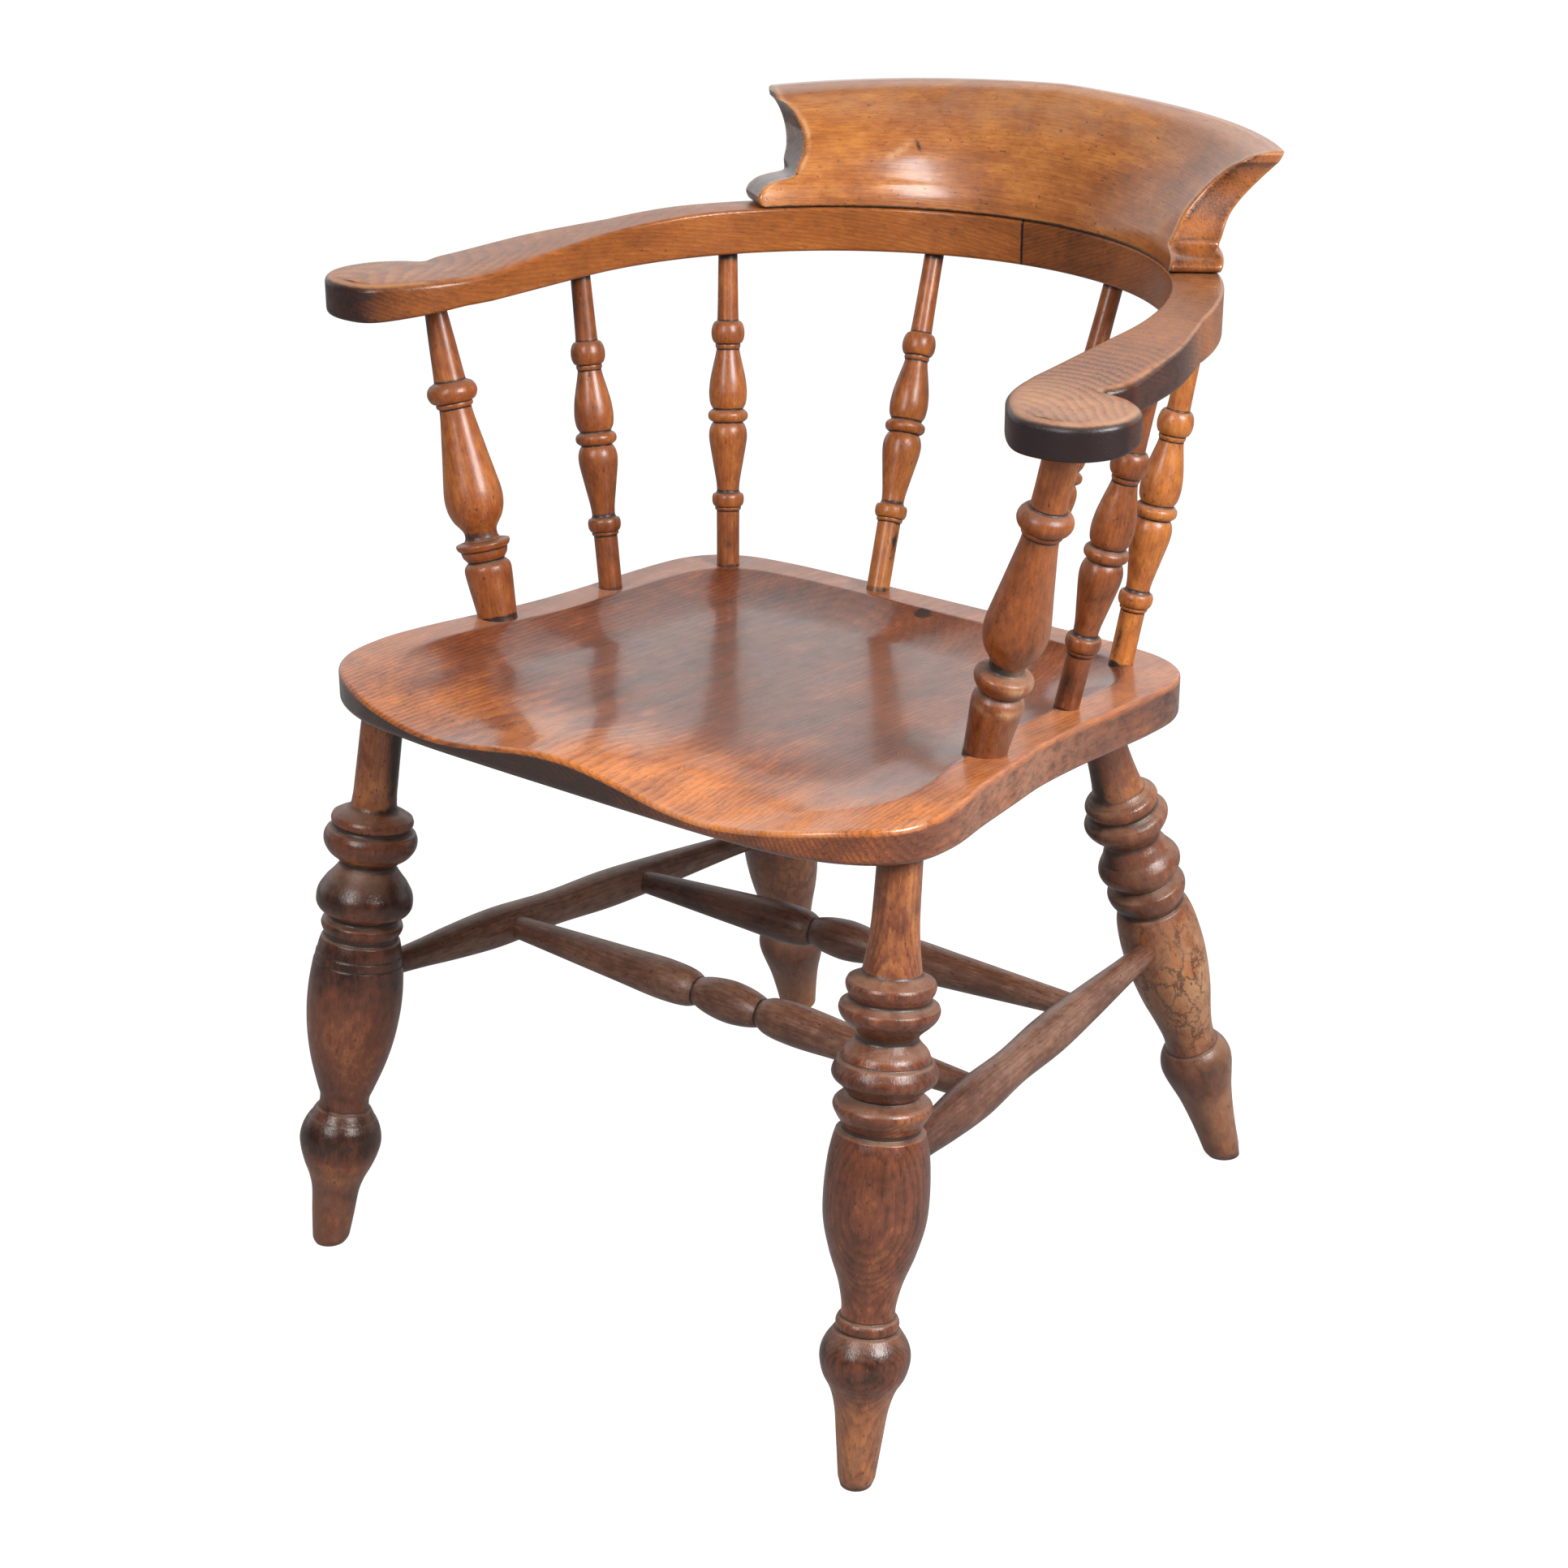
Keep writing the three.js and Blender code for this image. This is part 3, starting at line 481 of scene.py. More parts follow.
def closed_ends(profile):
    """The profile with its first and last rings drawn in to points on the axis."""
    first, last = profile[0], profile[-1]
    inner = np.array([[first[0], 0.0], [first[0], first[1] / 2]])
    outer = np.array([[last[0], last[1] / 2], [last[0], 0.0]])
    return np.vstack([inner, profile, outer])


# Seat planes
seat_datum_height = 432.0
seat_datum_y = -70.0
seat_fall_slope = 0.047
seat_thickness = 30.0


def seat_plane(y):
    """Height of the seat's flat rim, which falls towards the back."""
    return seat_datum_height - seat_fall_slope * (y - seat_datum_y)


# Legs: foot and upper point in plan, and how far the foot is worn off (or left long), in mm
leg_pattern_length = 400.0
leg_radius = 33.0
leg_reference_height = 390.0
leg_floor_allowance = 12.0
leg_top_in_seat = 6.0
foot_round = 5.0
foot_round_share = 0.14
leg_around = 84
leg_places = {
    "front_left": ((-235, -235), (-216, -173), -1.7),
    "front_right": ((235, -235), (216, -173), 4.5),
    "back_left": ((-203, 268), (-148, 143), -10.7),
    "back_right": ((203, 268), (148, 143), 7.9),
}
front_right_turning = [
    (0.0, 0.36), (0.06, 0.44), (0.12, 0.53), (0.15, 0.64), (0.175, 0.8), (0.2, 0.868), (0.215, 0.855),
    (0.229, 0.79), (0.238, 0.72), (0.247, 0.645, 1), (0.249, 0.575, 1), (0.254, 0.6), (0.262, 0.605),
    (0.268, 0.575, 1), (0.27, 0.52, 1), (0.285, 0.515), (0.325, 0.61), (0.375, 0.82), (0.425, 0.97),
    (0.47, 1.0), (0.525, 0.962), (0.556, 0.9), (0.571, 0.85, 1), (0.574, 0.745, 1), (0.579, 0.742),
    (0.587, 0.78), (0.594, 0.84), (0.6, 0.88), (0.607, 0.925), (0.612, 0.938), (0.618, 0.915),
    (0.622, 0.87, 1), (0.626, 0.72), (0.63, 0.66, 1), (0.634, 0.7), (0.648, 0.86), (0.655, 0.96),
    (0.662, 1.0), (0.67, 0.985), (0.679, 0.94), (0.684, 0.91, 1), (0.687, 0.85, 1), (0.7, 0.79),
    (0.711, 0.668), (0.7205, 0.588), (0.728, 0.605), (0.736, 0.69), (0.745, 0.81), (0.754, 0.903),
    (0.762, 0.943), (0.767, 0.946), (0.7725, 0.925, 1), (0.777, 0.82), (0.782, 0.77), (0.788, 0.785),
    (0.796, 0.83), (0.8045, 0.845), (0.811, 0.815, 1), (0.816, 0.68), (0.823, 0.575), (0.84, 0.53),
    (0.87, 0.48), (0.9, 0.45), (0.94, 0.435),
]
front_left_turning = [
    (0.0, 0.37), (0.058, 0.446), (0.11, 0.51), (0.135, 0.6), (0.158, 0.72), (0.18, 0.81), (0.2, 0.858),
    (0.215, 0.848), (0.232, 0.79), (0.245, 0.71, 1), (0.248, 0.68), (0.256, 0.63), (0.262, 0.59, 1),
    (0.266, 0.54), (0.285, 0.52), (0.305, 0.6), (0.353, 0.785), (0.4, 0.91), (0.45, 0.978),
    (0.49, 0.985), (0.525, 0.955), (0.54, 0.935, 1), (0.542, 0.918, 1), (0.556, 0.9, 1),
    (0.558, 0.882, 1), (0.57, 0.86), (0.583, 0.82, 1), (0.587, 0.77), (0.593, 0.775), (0.6, 0.82),
    (0.608, 0.85), (0.615, 0.83, 1), (0.62, 0.73), (0.625, 0.72, 1), (0.63, 0.82), (0.637, 0.93),
    (0.646, 0.99), (0.655, 1.0), (0.665, 0.99), (0.674, 0.955), (0.682, 0.9, 1), (0.69, 0.84),
    (0.7, 0.74), (0.711, 0.64), (0.7195, 0.585), (0.728, 0.66), (0.739, 0.83), (0.753, 0.94),
    (0.763, 0.965), (0.772, 0.955), (0.78, 0.91, 1), (0.784, 0.83), (0.789, 0.81), (0.794, 0.84),
    (0.8, 0.85), (0.807, 0.82, 1), (0.813, 0.7), (0.822, 0.5), (0.84, 0.455), (0.87, 0.445),
    (0.9, 0.44), (0.94, 0.435),
]
back_turning = [
    (0.0, 0.4), (0.05, 0.455), (0.1, 0.53), (0.14, 0.61), (0.175, 0.71), (0.2, 0.775), (0.214, 0.788),
    (0.228, 0.76), (0.24, 0.7), (0.249, 0.63, 1), (0.252, 0.575, 1), (0.262, 0.555), (0.285, 0.56),
    (0.325, 0.64), (0.375, 0.765), (0.425, 0.845), (0.47, 0.878), (0.525, 0.858), (0.556, 0.805),
    (0.571, 0.75, 1), (0.574, 0.69, 1), (0.58, 0.7), (0.59, 0.77), (0.602, 0.83), (0.611, 0.845),
    (0.619, 0.825), (0.624, 0.74, 1), (0.63, 0.62, 1), (0.64, 0.74), (0.652, 0.845), (0.663, 0.885),
    (0.672, 0.87), (0.683, 0.8), (0.69, 0.74), (0.705, 0.66), (0.7205, 0.585), (0.73, 0.64),
    (0.742, 0.77), (0.755, 0.87), (0.765, 0.9), (0.772, 0.87), (0.778, 0.78, 1), (0.784, 0.72),
    (0.792, 0.755), (0.801, 0.78), (0.808, 0.75), (0.814, 0.66), (0.823, 0.56), (0.84, 0.515),
    (0.87, 0.475), (0.9, 0.45), (0.94, 0.435),
]
leg_turnings = {
    "front_left": front_left_turning, "front_right": front_right_turning,
    "back_left": back_turning, "back_right": back_turning,
}
# Tone from foot to neck: share of the pattern, then the tone there
leg_tones = {
    "front_left": [
        (0.0, 0.5), (0.06, 0.5), (0.11, 0.3), (0.14, 0.6), (0.17, 0.58), (0.19, 0.25), (0.21, 0.05),
        (0.235, 0.05), (0.26, 0.25), (0.3, 0.35), (0.38, 0.52), (0.45, 0.5), (0.5, 0.32), (0.55, 0.16),
        (0.59, 0.25), (0.625, 0.4), (0.64, 0.3), (0.655, 0.1), (0.68, 0.15), (0.7, 0.3), (0.72, 0.6),
        (0.735, 0.6), (0.755, 0.4), (0.77, 0.45), (0.79, 0.55), (0.82, 0.6), (0.85, 0.68), (0.93, 0.6),
    ],
    "front_right": [
        (0.0, 0.82), (0.06, 0.8), (0.12, 0.75), (0.16, 0.45), (0.2, 0.2), (0.23, 0.2), (0.25, 0.5),
        (0.3, 0.58), (0.36, 0.52), (0.45, 0.42), (0.5, 0.4), (0.56, 0.38), (0.585, 0.45), (0.61, 0.5),
        (0.63, 0.45), (0.645, 0.3), (0.66, 0.3), (0.68, 0.36), (0.7, 0.55), (0.72, 0.45), (0.75, 0.3),
        (0.765, 0.4), (0.79, 0.45), (0.81, 0.5), (0.83, 0.72), (0.88, 0.82), (0.93, 0.75),
    ],
    # Painted light: this leg's tones are raised, most at the foot, where it stands in shade
    "back_left": [
        (0.0, 0.95), (0.1, 0.9), (0.15, 0.65), (0.2, 0.4), (0.24, 0.4), (0.27, 0.65), (0.35, 0.68),
        (0.45, 0.6), (0.93, 0.5),
    ],
    "back_right": [
        (0.0, 0.58), (0.05, 0.62), (0.12, 0.56), (0.18, 0.38), (0.22, 0.25), (0.25, 0.45), (0.28, 0.72),
        (0.35, 0.78), (0.45, 0.78), (0.55, 0.72), (0.58, 0.5), (0.61, 0.42), (0.63, 0.4), (0.66, 0.5),
        (0.7, 0.5), (0.73, 0.5), (0.8, 0.6), (0.83, 0.72), (0.88, 0.5), (0.93, 0.35),
    ],
}
# Strength of the painted shade at the top of each leg, under the seat
leg_painted_shade_at_top = {"front_left": 0.7, "front_right": 0.5, "back_left": 0.5, "back_right": 0.7}
leg_dust = {"front_left": 0.45, "front_right": 0.55, "back_left": 0.5, "back_right": 0.5}
leg_dull = {"front_left": 0.1, "front_right": 0.1, "back_left": 0.35, "back_right": 0.25}
foot_dull = 0.25
# Shares of the pattern: where a foot's dullness ends and where the polish is cracked
foot_dull_reach = (0.12, 0.18)
cracked_from = (0.24, 0.3)
cracked_to = (0.56, 0.6)
# Painted shade under the seat starts and is full so many mm below it
seat_painted_shade_reach = (22, 1)
neck_taper = 0.96
neck_rows = 30
leg_crazing = {"front_left": 0.0, "front_right": 0.0, "back_left": 0.6, "back_right": 0.8}
# Spots: mark, mm along the axis, share towards the viewer and to the viewer's right, reach along
# and around, and strength
leg_spots = {
    "front_left": [
        ("grime", 372, (1, 1.6), 50, 8, 0.7),
        ("grime", 176, (0, 1), 9, 4, 0.5),
        ("grime", 288, (1, 0), 5, 22, 0.5),
        ("dust", 283, (1, 0), 4, 16, 0.5),
    ],
    "front_right": [
        ("grime", 378, (1, 1.3), 12, 7, 0.45),
        ("grime", 331, (0, -1), 5, 11, 0.5),
        ("tone", 366, (1, 0.2), 10, 5, -0.3),
    ],
    "back_left": [("grime", 80, (1, -1), 14, 12, 0.4)],
    "back_right": [
        # Painted shade: the next four grime spots darken the leg's left side, which faces away from the
        # lamps
        ("grime", 352, (1, -1.4), 24, 9, 0.6),
        ("grime", 246, (1, -1.2), 6, 15, 0.9),
        ("grime", 300, (1, -1.6), 34, 11, 0.5),
        ("grime", 210, (1, -2), 30, 9, 0.4),
        ("bare", 175, (1, 1), 48, 26, 0.6),
        ("bare", 70, (0, 1), 40, 14, 0.4),
        ("grime", 318, (1, 0.4), 5, 9, 0.5),
    ],
}
# The front right leg shows its rings as an eye towards the viewer
leg_facing = {
    "front_left": -viewer_right, "front_right": towards_viewer - 0.27 * viewer_right,
    "back_left": viewer_right, "back_right": viewer_right,
}
leg_figure = {"front_left": 0.3, "front_right": 1.0, "back_left": 0.2, "back_right": 0.2}
leg_axes = {}
for place, ((foot_x, foot_y), (upper_x, upper_y), worn_foot) in leg_places.items():
    foot = np.array([foot_x, foot_y, 0.0])
    direction = unit(np.array([upper_x, upper_y, leg_reference_height]) - foot)
    leg_axes[place] = (foot, direction)
    shoulder_rise = seat_plane(foot_y) - seat_thickness
    shoulder = shoulder_rise / (direction[2] + seat_fall_slope * direction[1])
    profile = from_shares(leg_turnings[place], leg_pattern_length, leg_radius) + (worn_foot, 0)
    neck = profile[-1]
    top = np.linspace(neck, [shoulder + leg_top_in_seat, neck[1] * neck_taper], neck_rows)
    profile = np.vstack([[-leg_floor_allowance, profile[0, 1]], profile[:-1], top])
    profile = closed_ends(profile)
    shares = (profile[:, 0] - worn_foot) / leg_pattern_length
    tone = np.interp(shares, *np.array(leg_tones[place]).T)
    cracked = soft_step(shares, *cracked_from) * (1 - soft_step(shares, *cracked_to))
    painted_shade_near_seat = soft_step(profile[:, 0] - shoulder, *np.negative(seat_painted_shade_reach))
    dull = leg_dull[place] + foot_dull * (1 - soft_step(shares, *foot_dull_reach))
    # The grime mark also carries the painted shade under the seat
    net, plank, marks, loop = turned(
        profile, leg_around, foot, direction, tone, leg_facing[place], leg_oval, leg_spots[place],
        grime=painted_shade_near_seat * leg_painted_shade_at_top[place], dust=leg_dust[place], dull=dull,
        crazed=cracked * leg_crazing[place], figure=leg_figure[place],
    )
    # The foot stands flat on the floor, its lower edge rubbed round
    below = np.minimum(net[..., 2], 0)
    net -= below[..., None] / direction[2] * direction
    axis_points = foot + (net[..., 2:] / direction[2]) * direction
    height = np.clip(net[..., 2:] / foot_round, 0, 1)
    net = axis_points + (net - axis_points) * (1 - foot_round_share * (1 - height) ** 2)
    add_piece(f"{place}_turned_leg", f"{place}_leg", [(net, plank, marks, loop)], leg_finish)


# Stretchers
stretcher_radius = 14.6
stretcher_around = 48
stretcher_sink = 12.0
side_rail_on_legs = {"left": (202.8, 196.0), "right": (201.2, 204.0)}
side_rail_shares = [
    (0.0, 0.54), (0.07, 0.58), (0.14, 0.7), (0.2, 0.85), (0.3, 1.0), (0.43, 0.88), (0.56, 0.97),
    (0.7, 0.84), (0.86, 0.62), (0.94, 0.56), (1.0, 0.54),
]
cross_rail_places = {"front": (136.5, 136.5), "back": (262.0, 280.5)}
olive_half_length = 28.0
cross_tenon = 3.0
cross_taper = [
    (0.0, 0.54), (0.25, 0.68), (0.6, 0.88), (0.85, 1.0), (0.96, 0.88), (1.0, 0.68, 1),
]
olive_taper = [(0.1, 0.8), (0.25, 0.92), (0.5, 1.0)]
# Tone at the start, in the middle and at the far end; the left rail's is raised as painted light, where
# it lies in shade
rail_tones = {
    "left": (0.55, 0.72, 0.5), "right": (0.25, 0.75, 0.6),
    "front": (0.5, 0.62, 0.5), "back": (0.2, 0.4, 0.65),
}
# Grime at the ends, and the power of the distance from the middle by which it falls off
side_rail_grime = (0.35, 4)
cross_rail_grime = (0.3, 3)


def rail(profile, length, start, direction, tones, grime):
    """A turned stretcher whose tone and grime change along it."""
    profile = closed_ends(profile)
    from_middle = np.abs(2 * profile[:, 0] / length - 1)
    tone = np.interp(profile[:, 0], [0, length / 2, length], tones)
    strength, power = grime
    end_grime = strength * from_middle ** power
    return turned(profile, stretcher_around, start, direction, tone, grime=end_grime)


side_rails = {}
for side, (on_front, on_back) in side_rail_on_legs.items():
    front_foot, front_direction = leg_axes[f"front_{side}"]
    back_foot, back_direction = leg_axes[f"back_{side}"]
    start = front_foot + on_front * front_direction
    finish = back_foot + on_back * back_direction
    length = np.linalg.norm(finish - start)
    direction = unit(finish - start)
    side_rails[side] = (start, direction)
    profile = from_shares(side_rail_shares, length, stretcher_radius)
    inside = (profile[:, 0] > stretcher_sink) & (profile[:, 0] < length - stretcher_sink)
    net = rail(profile[inside], length, start, direction, rail_tones[side], side_rail_grime)
    add_piece(f"{side}_side_rail", f"{side}_side_stretcher", [net], stretcher_finish)

for end, (on_left, on_right) in cross_rail_places.items():
    start = side_rails["left"][0] + on_left * side_rails["left"][1]
    finish = side_rails["right"][0] + on_right * side_rails["right"][1]
    length = np.linalg.norm(finish - start)
    taper_length = length / 2 - olive_half_length
    half = [(along * taper_length, share, crisp) for along, share, crisp in with_corners(cross_taper)]
    olive_length = 2 * olive_half_length
    half += [(taper_length + along * olive_length, share, 0) for along, share in olive_taper]
    rows = np.array(half + [(length - along, share, crisp) for along, share, crisp in half[-2::-1]])
    profile = fair_curve(rows[:, :2] * (1, stretcher_radius), turning_step, np.flatnonzero(rows[:, 2]))
    inside = (profile[:, 0] > cross_tenon) & (profile[:, 0] < length - cross_tenon)
    net = rail(profile[inside], length, start, finish - start, rail_tones[end], cross_rail_grime)
    add_piece(f"{end}_cross_rail", f"{end}_cross_stretcher", [net], stretcher_finish)


# Arm posts and spindles
bow_underside = 648.0
upright_reference_rise = 250.0
post_radius = 20.5
spindle_radius = 14.6
post_pattern_length = 220.0
spindle_pattern_length = 230.0
upright_sink = 6.0
upright_in_bow = 9.0
post_around = 64
spindle_around = 48
post_foot = [(0.0, 0.66), (0.06, 0.72), (0.13, 0.79), (0.155, 0.8), (0.168, 0.765)]
# A thin-edged saucer on the left post, and a ring worn round on the right one
post_saucers = {
    "left": [
        (0.178, 0.67, 1), (0.1815, 0.62, 1), (0.19, 0.68), (0.2, 0.755), (0.212, 0.79), (0.219, 0.8, 1),
        (0.224, 0.87), (0.236, 0.925), (0.241, 0.91, 1), (0.2435, 0.82, 1), (0.2465, 0.64, 1),
    ],
    "right": [
        (0.179, 0.68, 1), (0.184, 0.62, 1), (0.19, 0.7), (0.2, 0.8), (0.214, 0.88), (0.229, 0.91),
        (0.241, 0.87), (0.248, 0.76), (0.2525, 0.63, 1),
    ],
}
post_belly = [
    (0.256, 0.57), (0.27, 0.55), (0.283, 0.585), (0.295, 0.67), (0.315, 0.82), (0.34, 0.93),
    (0.37, 0.985), (0.4, 0.98), (0.45, 0.9), (0.5, 0.81), (0.55, 0.725), (0.6, 0.64), (0.64, 0.575),
    (0.668, 0.545, 1), (0.671, 0.6), (0.679, 0.63), (0.685, 0.61, 1), (0.688, 0.7), (0.697, 0.79),
    (0.714, 0.85), (0.732, 0.81), (0.743, 0.72, 1), (0.746, 0.66, 1),
]
post_necks = {
    "left": [(0.751, 0.54, 1), (0.765, 0.525), (0.87, 0.45), (0.96, 0.38)],
    "right": [(0.751, 0.56, 1), (0.765, 0.545), (0.87, 0.55), (0.96, 0.57)],
}
spindle_turning = [
    (0.0, 0.57), (0.08, 0.57), (0.165, 0.575, 1), (0.168, 0.64), (0.172, 0.655), (0.177, 0.64, 1),
    (0.18, 0.71), (0.19, 0.785), (0.2, 0.8), (0.21, 0.79), (0.218, 0.74, 1), (0.2205, 0.62, 1),
    (0.228, 0.565), (0.242, 0.57), (0.26, 0.6), (0.33, 0.79), (0.395, 0.95), (0.418, 0.94),
    (0.434, 0.87), (0.443, 0.79, 1), (0.446, 0.74, 1), (0.45, 0.85), (0.457, 0.965), (0.467, 1.0),
    (0.477, 0.965), (0.484, 0.85), (0.488, 0.75, 1), (0.492, 0.79, 1), (0.505, 0.89), (0.535, 0.95),
    (0.56, 0.93), (0.585, 0.88), (0.63, 0.73), (0.66, 0.62), (0.678, 0.57, 1), (0.681, 0.6),
    (0.688, 0.63), (0.694, 0.61, 1), (0.698, 0.7), (0.71, 0.795), (0.728, 0.83), (0.744, 0.8),
    (0.756, 0.735), (0.763, 0.66, 1), (0.766, 0.54, 1), (0.775, 0.53), (0.87, 0.5), (0.96, 0.48),
]
upright_places = {
    "arm_post": ((205, -70), (265, -67)),
    "front_spindle": ((195, 37), (240.6, 60)),
    "middle_spindle": ((171, 141), (199, 178)),
    "rear_spindle": ((53, 168), (78, 273)),
}
right_rear_spindle_base = (72, 168)
raised_turning = {"left_middle_spindle": 2.8, "left_rear_spindle": 11.0, "right_arm_post": 2.5}
# Tone at the seat, in the middle and at the bow
upright_tones = {
    "left_arm_post": (0.45, 0.6, 0.35), "left_front_spindle": (0.34, 0.45, 0.44),
    "left_middle_spindle": (0.42, 0.58, 0.55), "left_rear_spindle": (0.8, 0.52, 0.5),
    "right_rear_spindle": (0.5, 0.5, 0.4), "right_middle_spindle": (0.72, 0.68, 0.6),
    "right_front_spindle": (0.3, 0.46, 0.38), "right_arm_post": (0.25, 0.42, 0.6),
}
upright_spots = {
    "right_arm_post": [
        ("grime", 82, (1, 0.5), 12, 4, 0.5),
        ("dust", 60, (0, 1), 70, 14, 1.0),
        ("bare", 35, (1, 0), 2.5, 14, 1.0),
        ("bare", 52, (1, 1), 3, 12, 1.0),
        ("grime", 60, (1, -1), 5, 8, 0.4),
    ],
    "right_front_spindle": [
        ("grime", 22, (1, -0.6), 18, 6, 0.45),
        ("grime", 95, (0, 1), 9, 5, 0.5),
        ("tone", 15, (1, 0), 22, 20, -0.25),
    ],
    "right_middle_spindle": [("grime", 15, (1, -1), 18, 4, 0.6)],
    "left_middle_spindle": [("grime", 18, (1, 0), 9, 6, 0.42)],
    "left_rear_spindle": [("grime", 32, (1, 1), 18, 4, 0.55)],
    "left_front_spindle": [("grime", 205, (0, -1), 26, 6, 0.7)],
    "left_arm_post": [
        ("grime", 200, (0, -1), 30, 7, 0.8),
        ("grime", 20, (0, -1), 20, 6, 0.7),
        ("grime", 12, (1, 0), 16, 12, 0.36),
    ],
}
# Painted shadow round both ends, where the upright meets the seat and runs under the bow: its strength,
# and the mm over which it fades from the seat or grows to the bow
seat_end_painted_shadow = 0.5
seat_end_reach = (0.3, 3.0)
bow_end_painted_shadow = 0.9
bow_end_reach = (12, 1)
upright_dust = 0.4
foot_row_count = 10
head_row_count = 12
for side, sign in (("left", -1), ("right", 1)):
    for kind, (base_place, upper_place) in upright_places.items():
        name = f"{side}_{kind}"
        if name == "right_rear_spindle":
            base_place = right_rear_spindle_base
        base = np.array([base_place[0] * sign, base_place[1], seat_plane(base_place[1])])
        upper = np.array([upper_place[0] * sign, upper_place[1], base[2] + upright_reference_rise])
        direction = unit(upper - base)
        top = (bow_underside - base[2]) / direction[2]
        pattern = (spindle_turning, spindle_pattern_length, spindle_radius)
        around = spindle_around
        if kind == "arm_post":
            rows = post_foot + post_saucers[side] + post_belly + post_necks[side]
            pattern = (rows, post_pattern_length, post_radius)
            around = post_around
        profile = from_shares(*pattern, raised_turning.get(name, 0.0))
        sunk = [-upright_sink, profile[0, 1]]
        foot_rows = np.linspace(sunk, profile[0], foot_row_count, endpoint=False)
        head = profile[profile[:, 0] < top + upright_in_bow]
        head_rows = np.linspace(head[-1], [top + upright_in_bow, head[-1][1]], head_row_count)[1:]
        profile = closed_ends(np.vstack([foot_rows, head, head_rows]))
        painted_shadow_at_seat = seat_end_painted_shadow * (1 - soft_step(profile[:, 0], *seat_end_reach))
        painted_shadow_at_bow = bow_end_painted_shadow * soft_step(profile[:, 0] - top, *np.negative(bow_end_reach))
        tone = np.interp(profile[:, 0], [0, top / 2, top], upright_tones[name])
        # The grime mark here carries the painted shadow at both ends as well as the grooves' grime
        net = turned(
            profile, around, base, direction, tone, -viewer_right,
            spots=upright_spots.get(name, ()), grime=painted_shadow_at_seat + painted_shadow_at_bow, dust=upright_dust,
        )
        add_piece(f"{name}_turning", name, [net], upright_finish)


# Seat
seat_half_width = 240.0
seat_middle = np.array([5.0, -30.0])
seat_back_y = 181.0
seat_front_y = -242.0
seat_dish_depth = 12.0
seat_front_drop = 7.5
seat_hollow_depth = 13.5
seat_hollow_reach = 225.0
seat_hollow_start_y = -105.0
seat_rim_share = 0.86
seat_dish_wall_share = 0.25
seat_dish_wall_power = 1.7
seat_around = 300
seat_plan = [
    (0.0, 1.0), (0.35, 0.998), (0.61, 0.988), (0.757, 0.955), (0.844, 0.885), (0.89, 0.785),
    (0.906, 0.62), (0.906, 0.4), (0.905, 0.2), (0.915, -0.02), (0.938, -0.19), (0.965, -0.39),
    (0.996, -0.6), (0.985, -0.75), (0.92, -0.858), (0.77, -0.951), (0.54, -0.99), (0.25, -0.999),
    (0.0, -1.0),
]


def seat_top(x, y, share):
    """Height of the seat's top: its rim's plane, less the dish behind and two thigh hollows in front."""
    wall = np.clip((seat_rim_share - share) / seat_dish_wall_share, 0, 1)
    inside = 1 - (1 - wall) ** seat_dish_wall_power
    forward = soft_step(-y, -seat_hollow_start_y, -seat_front_y)
    hollow = np.sin(math.pi * np.clip(np.abs(x) / seat_hollow_reach, 0, 1)) ** 2
    front_depth = seat_front_drop + seat_hollow_depth * hollow
    return seat_plane(y) - mix(seat_dish_depth * inside, front_depth, forward)


half_plan = np.array(seat_plan)
half_depth = np.where(half_plan[:, 1] > 0, seat_back_y - seat_middle[1], seat_middle[1] - seat_front_y)
half_plan = np.stack([half_plan[:, 0] * seat_half_width, half_plan[:, 1] * half_depth], axis=1)
left_plan = half_plan[1:-1][::-1] * (-1, 1)
whole_plan = np.vstack([half_plan, left_plan])
overlap = 3
lapped = np.vstack([whole_plan[-overlap:], whole_plan, whole_plan[:overlap + 1]])
plan_step = 1.0
fair_plan = fair_curve(lapped, plan_step)
plan_angle = np.unwrap(np.arctan2(fair_plan[:, 0], fair_plan[:, 1]))
start_row = int(np.argmin(np.abs(plan_angle)))
end_row = int(np.argmin(np.abs(plan_angle - 2 * math.pi)))
outline = evenly(fair_plan[start_row:end_row + 1], seat_around + 1)[:-1]
away = np.linalg.norm(outline, axis=1)

# Rings from the middle of the top, over the edge, to the middle of the underside:
# share of the outline, inset from it in mm, share of the edge's height, and lift in mm
edge_round_top = 2.8
edge_round_under = 4.5
flat_share = 0.98
top_bands = [(0.0, 0.62, 36), (0.62, 0.88, 60), (0.88, flat_share, 13)]
round_rows, wall_rows, under_rows = 9, 12, 12
under_flat_share = 0.9
top_shares = np.concatenate([np.linspace(*band, endpoint=False) for band in top_bands])
quarter = np.linspace(0, half_pi, round_rows)
rings = [(share, 0.0, 1.0, 0.0) for share in (*top_shares, flat_share)]
for t in quarter:
    rings.append((1.0, edge_round_top * (1 - math.sin(t)), 1.0, edge_round_top * (math.cos(t) - 1)))
for share in np.linspace(1, 0, wall_rows)[1:-1]:
    rings.append((1.0, 0.0, share, mix(edge_round_under, -edge_round_top, share)))
for t in quarter:
    rings.append((1.0, edge_round_under * (1 - math.cos(t)), 0.0, edge_round_under * (1 - math.sin(t))))
for share in np.linspace(under_flat_share, 0, under_rows):
    rings.append((share, edge_round_under * share, 0.0, 0.0))
ring_share, ring_inset, ring_height, ring_lift = np.array(rings).T[..., None]
share = np.maximum(ring_share - ring_inset / away, 0)
seat_x = outline[:, 0] * share
seat_y = seat_middle[1] + outline[:, 1] * share
top_height = seat_top(seat_x, seat_y, share)
seat_z = mix(seat_plane(seat_y) - seat_thickness, top_height, ring_height) + ring_lift
seat_x = seat_middle[0] + seat_x
seat_net = np.stack([seat_x, seat_y, seat_z], axis=-1)

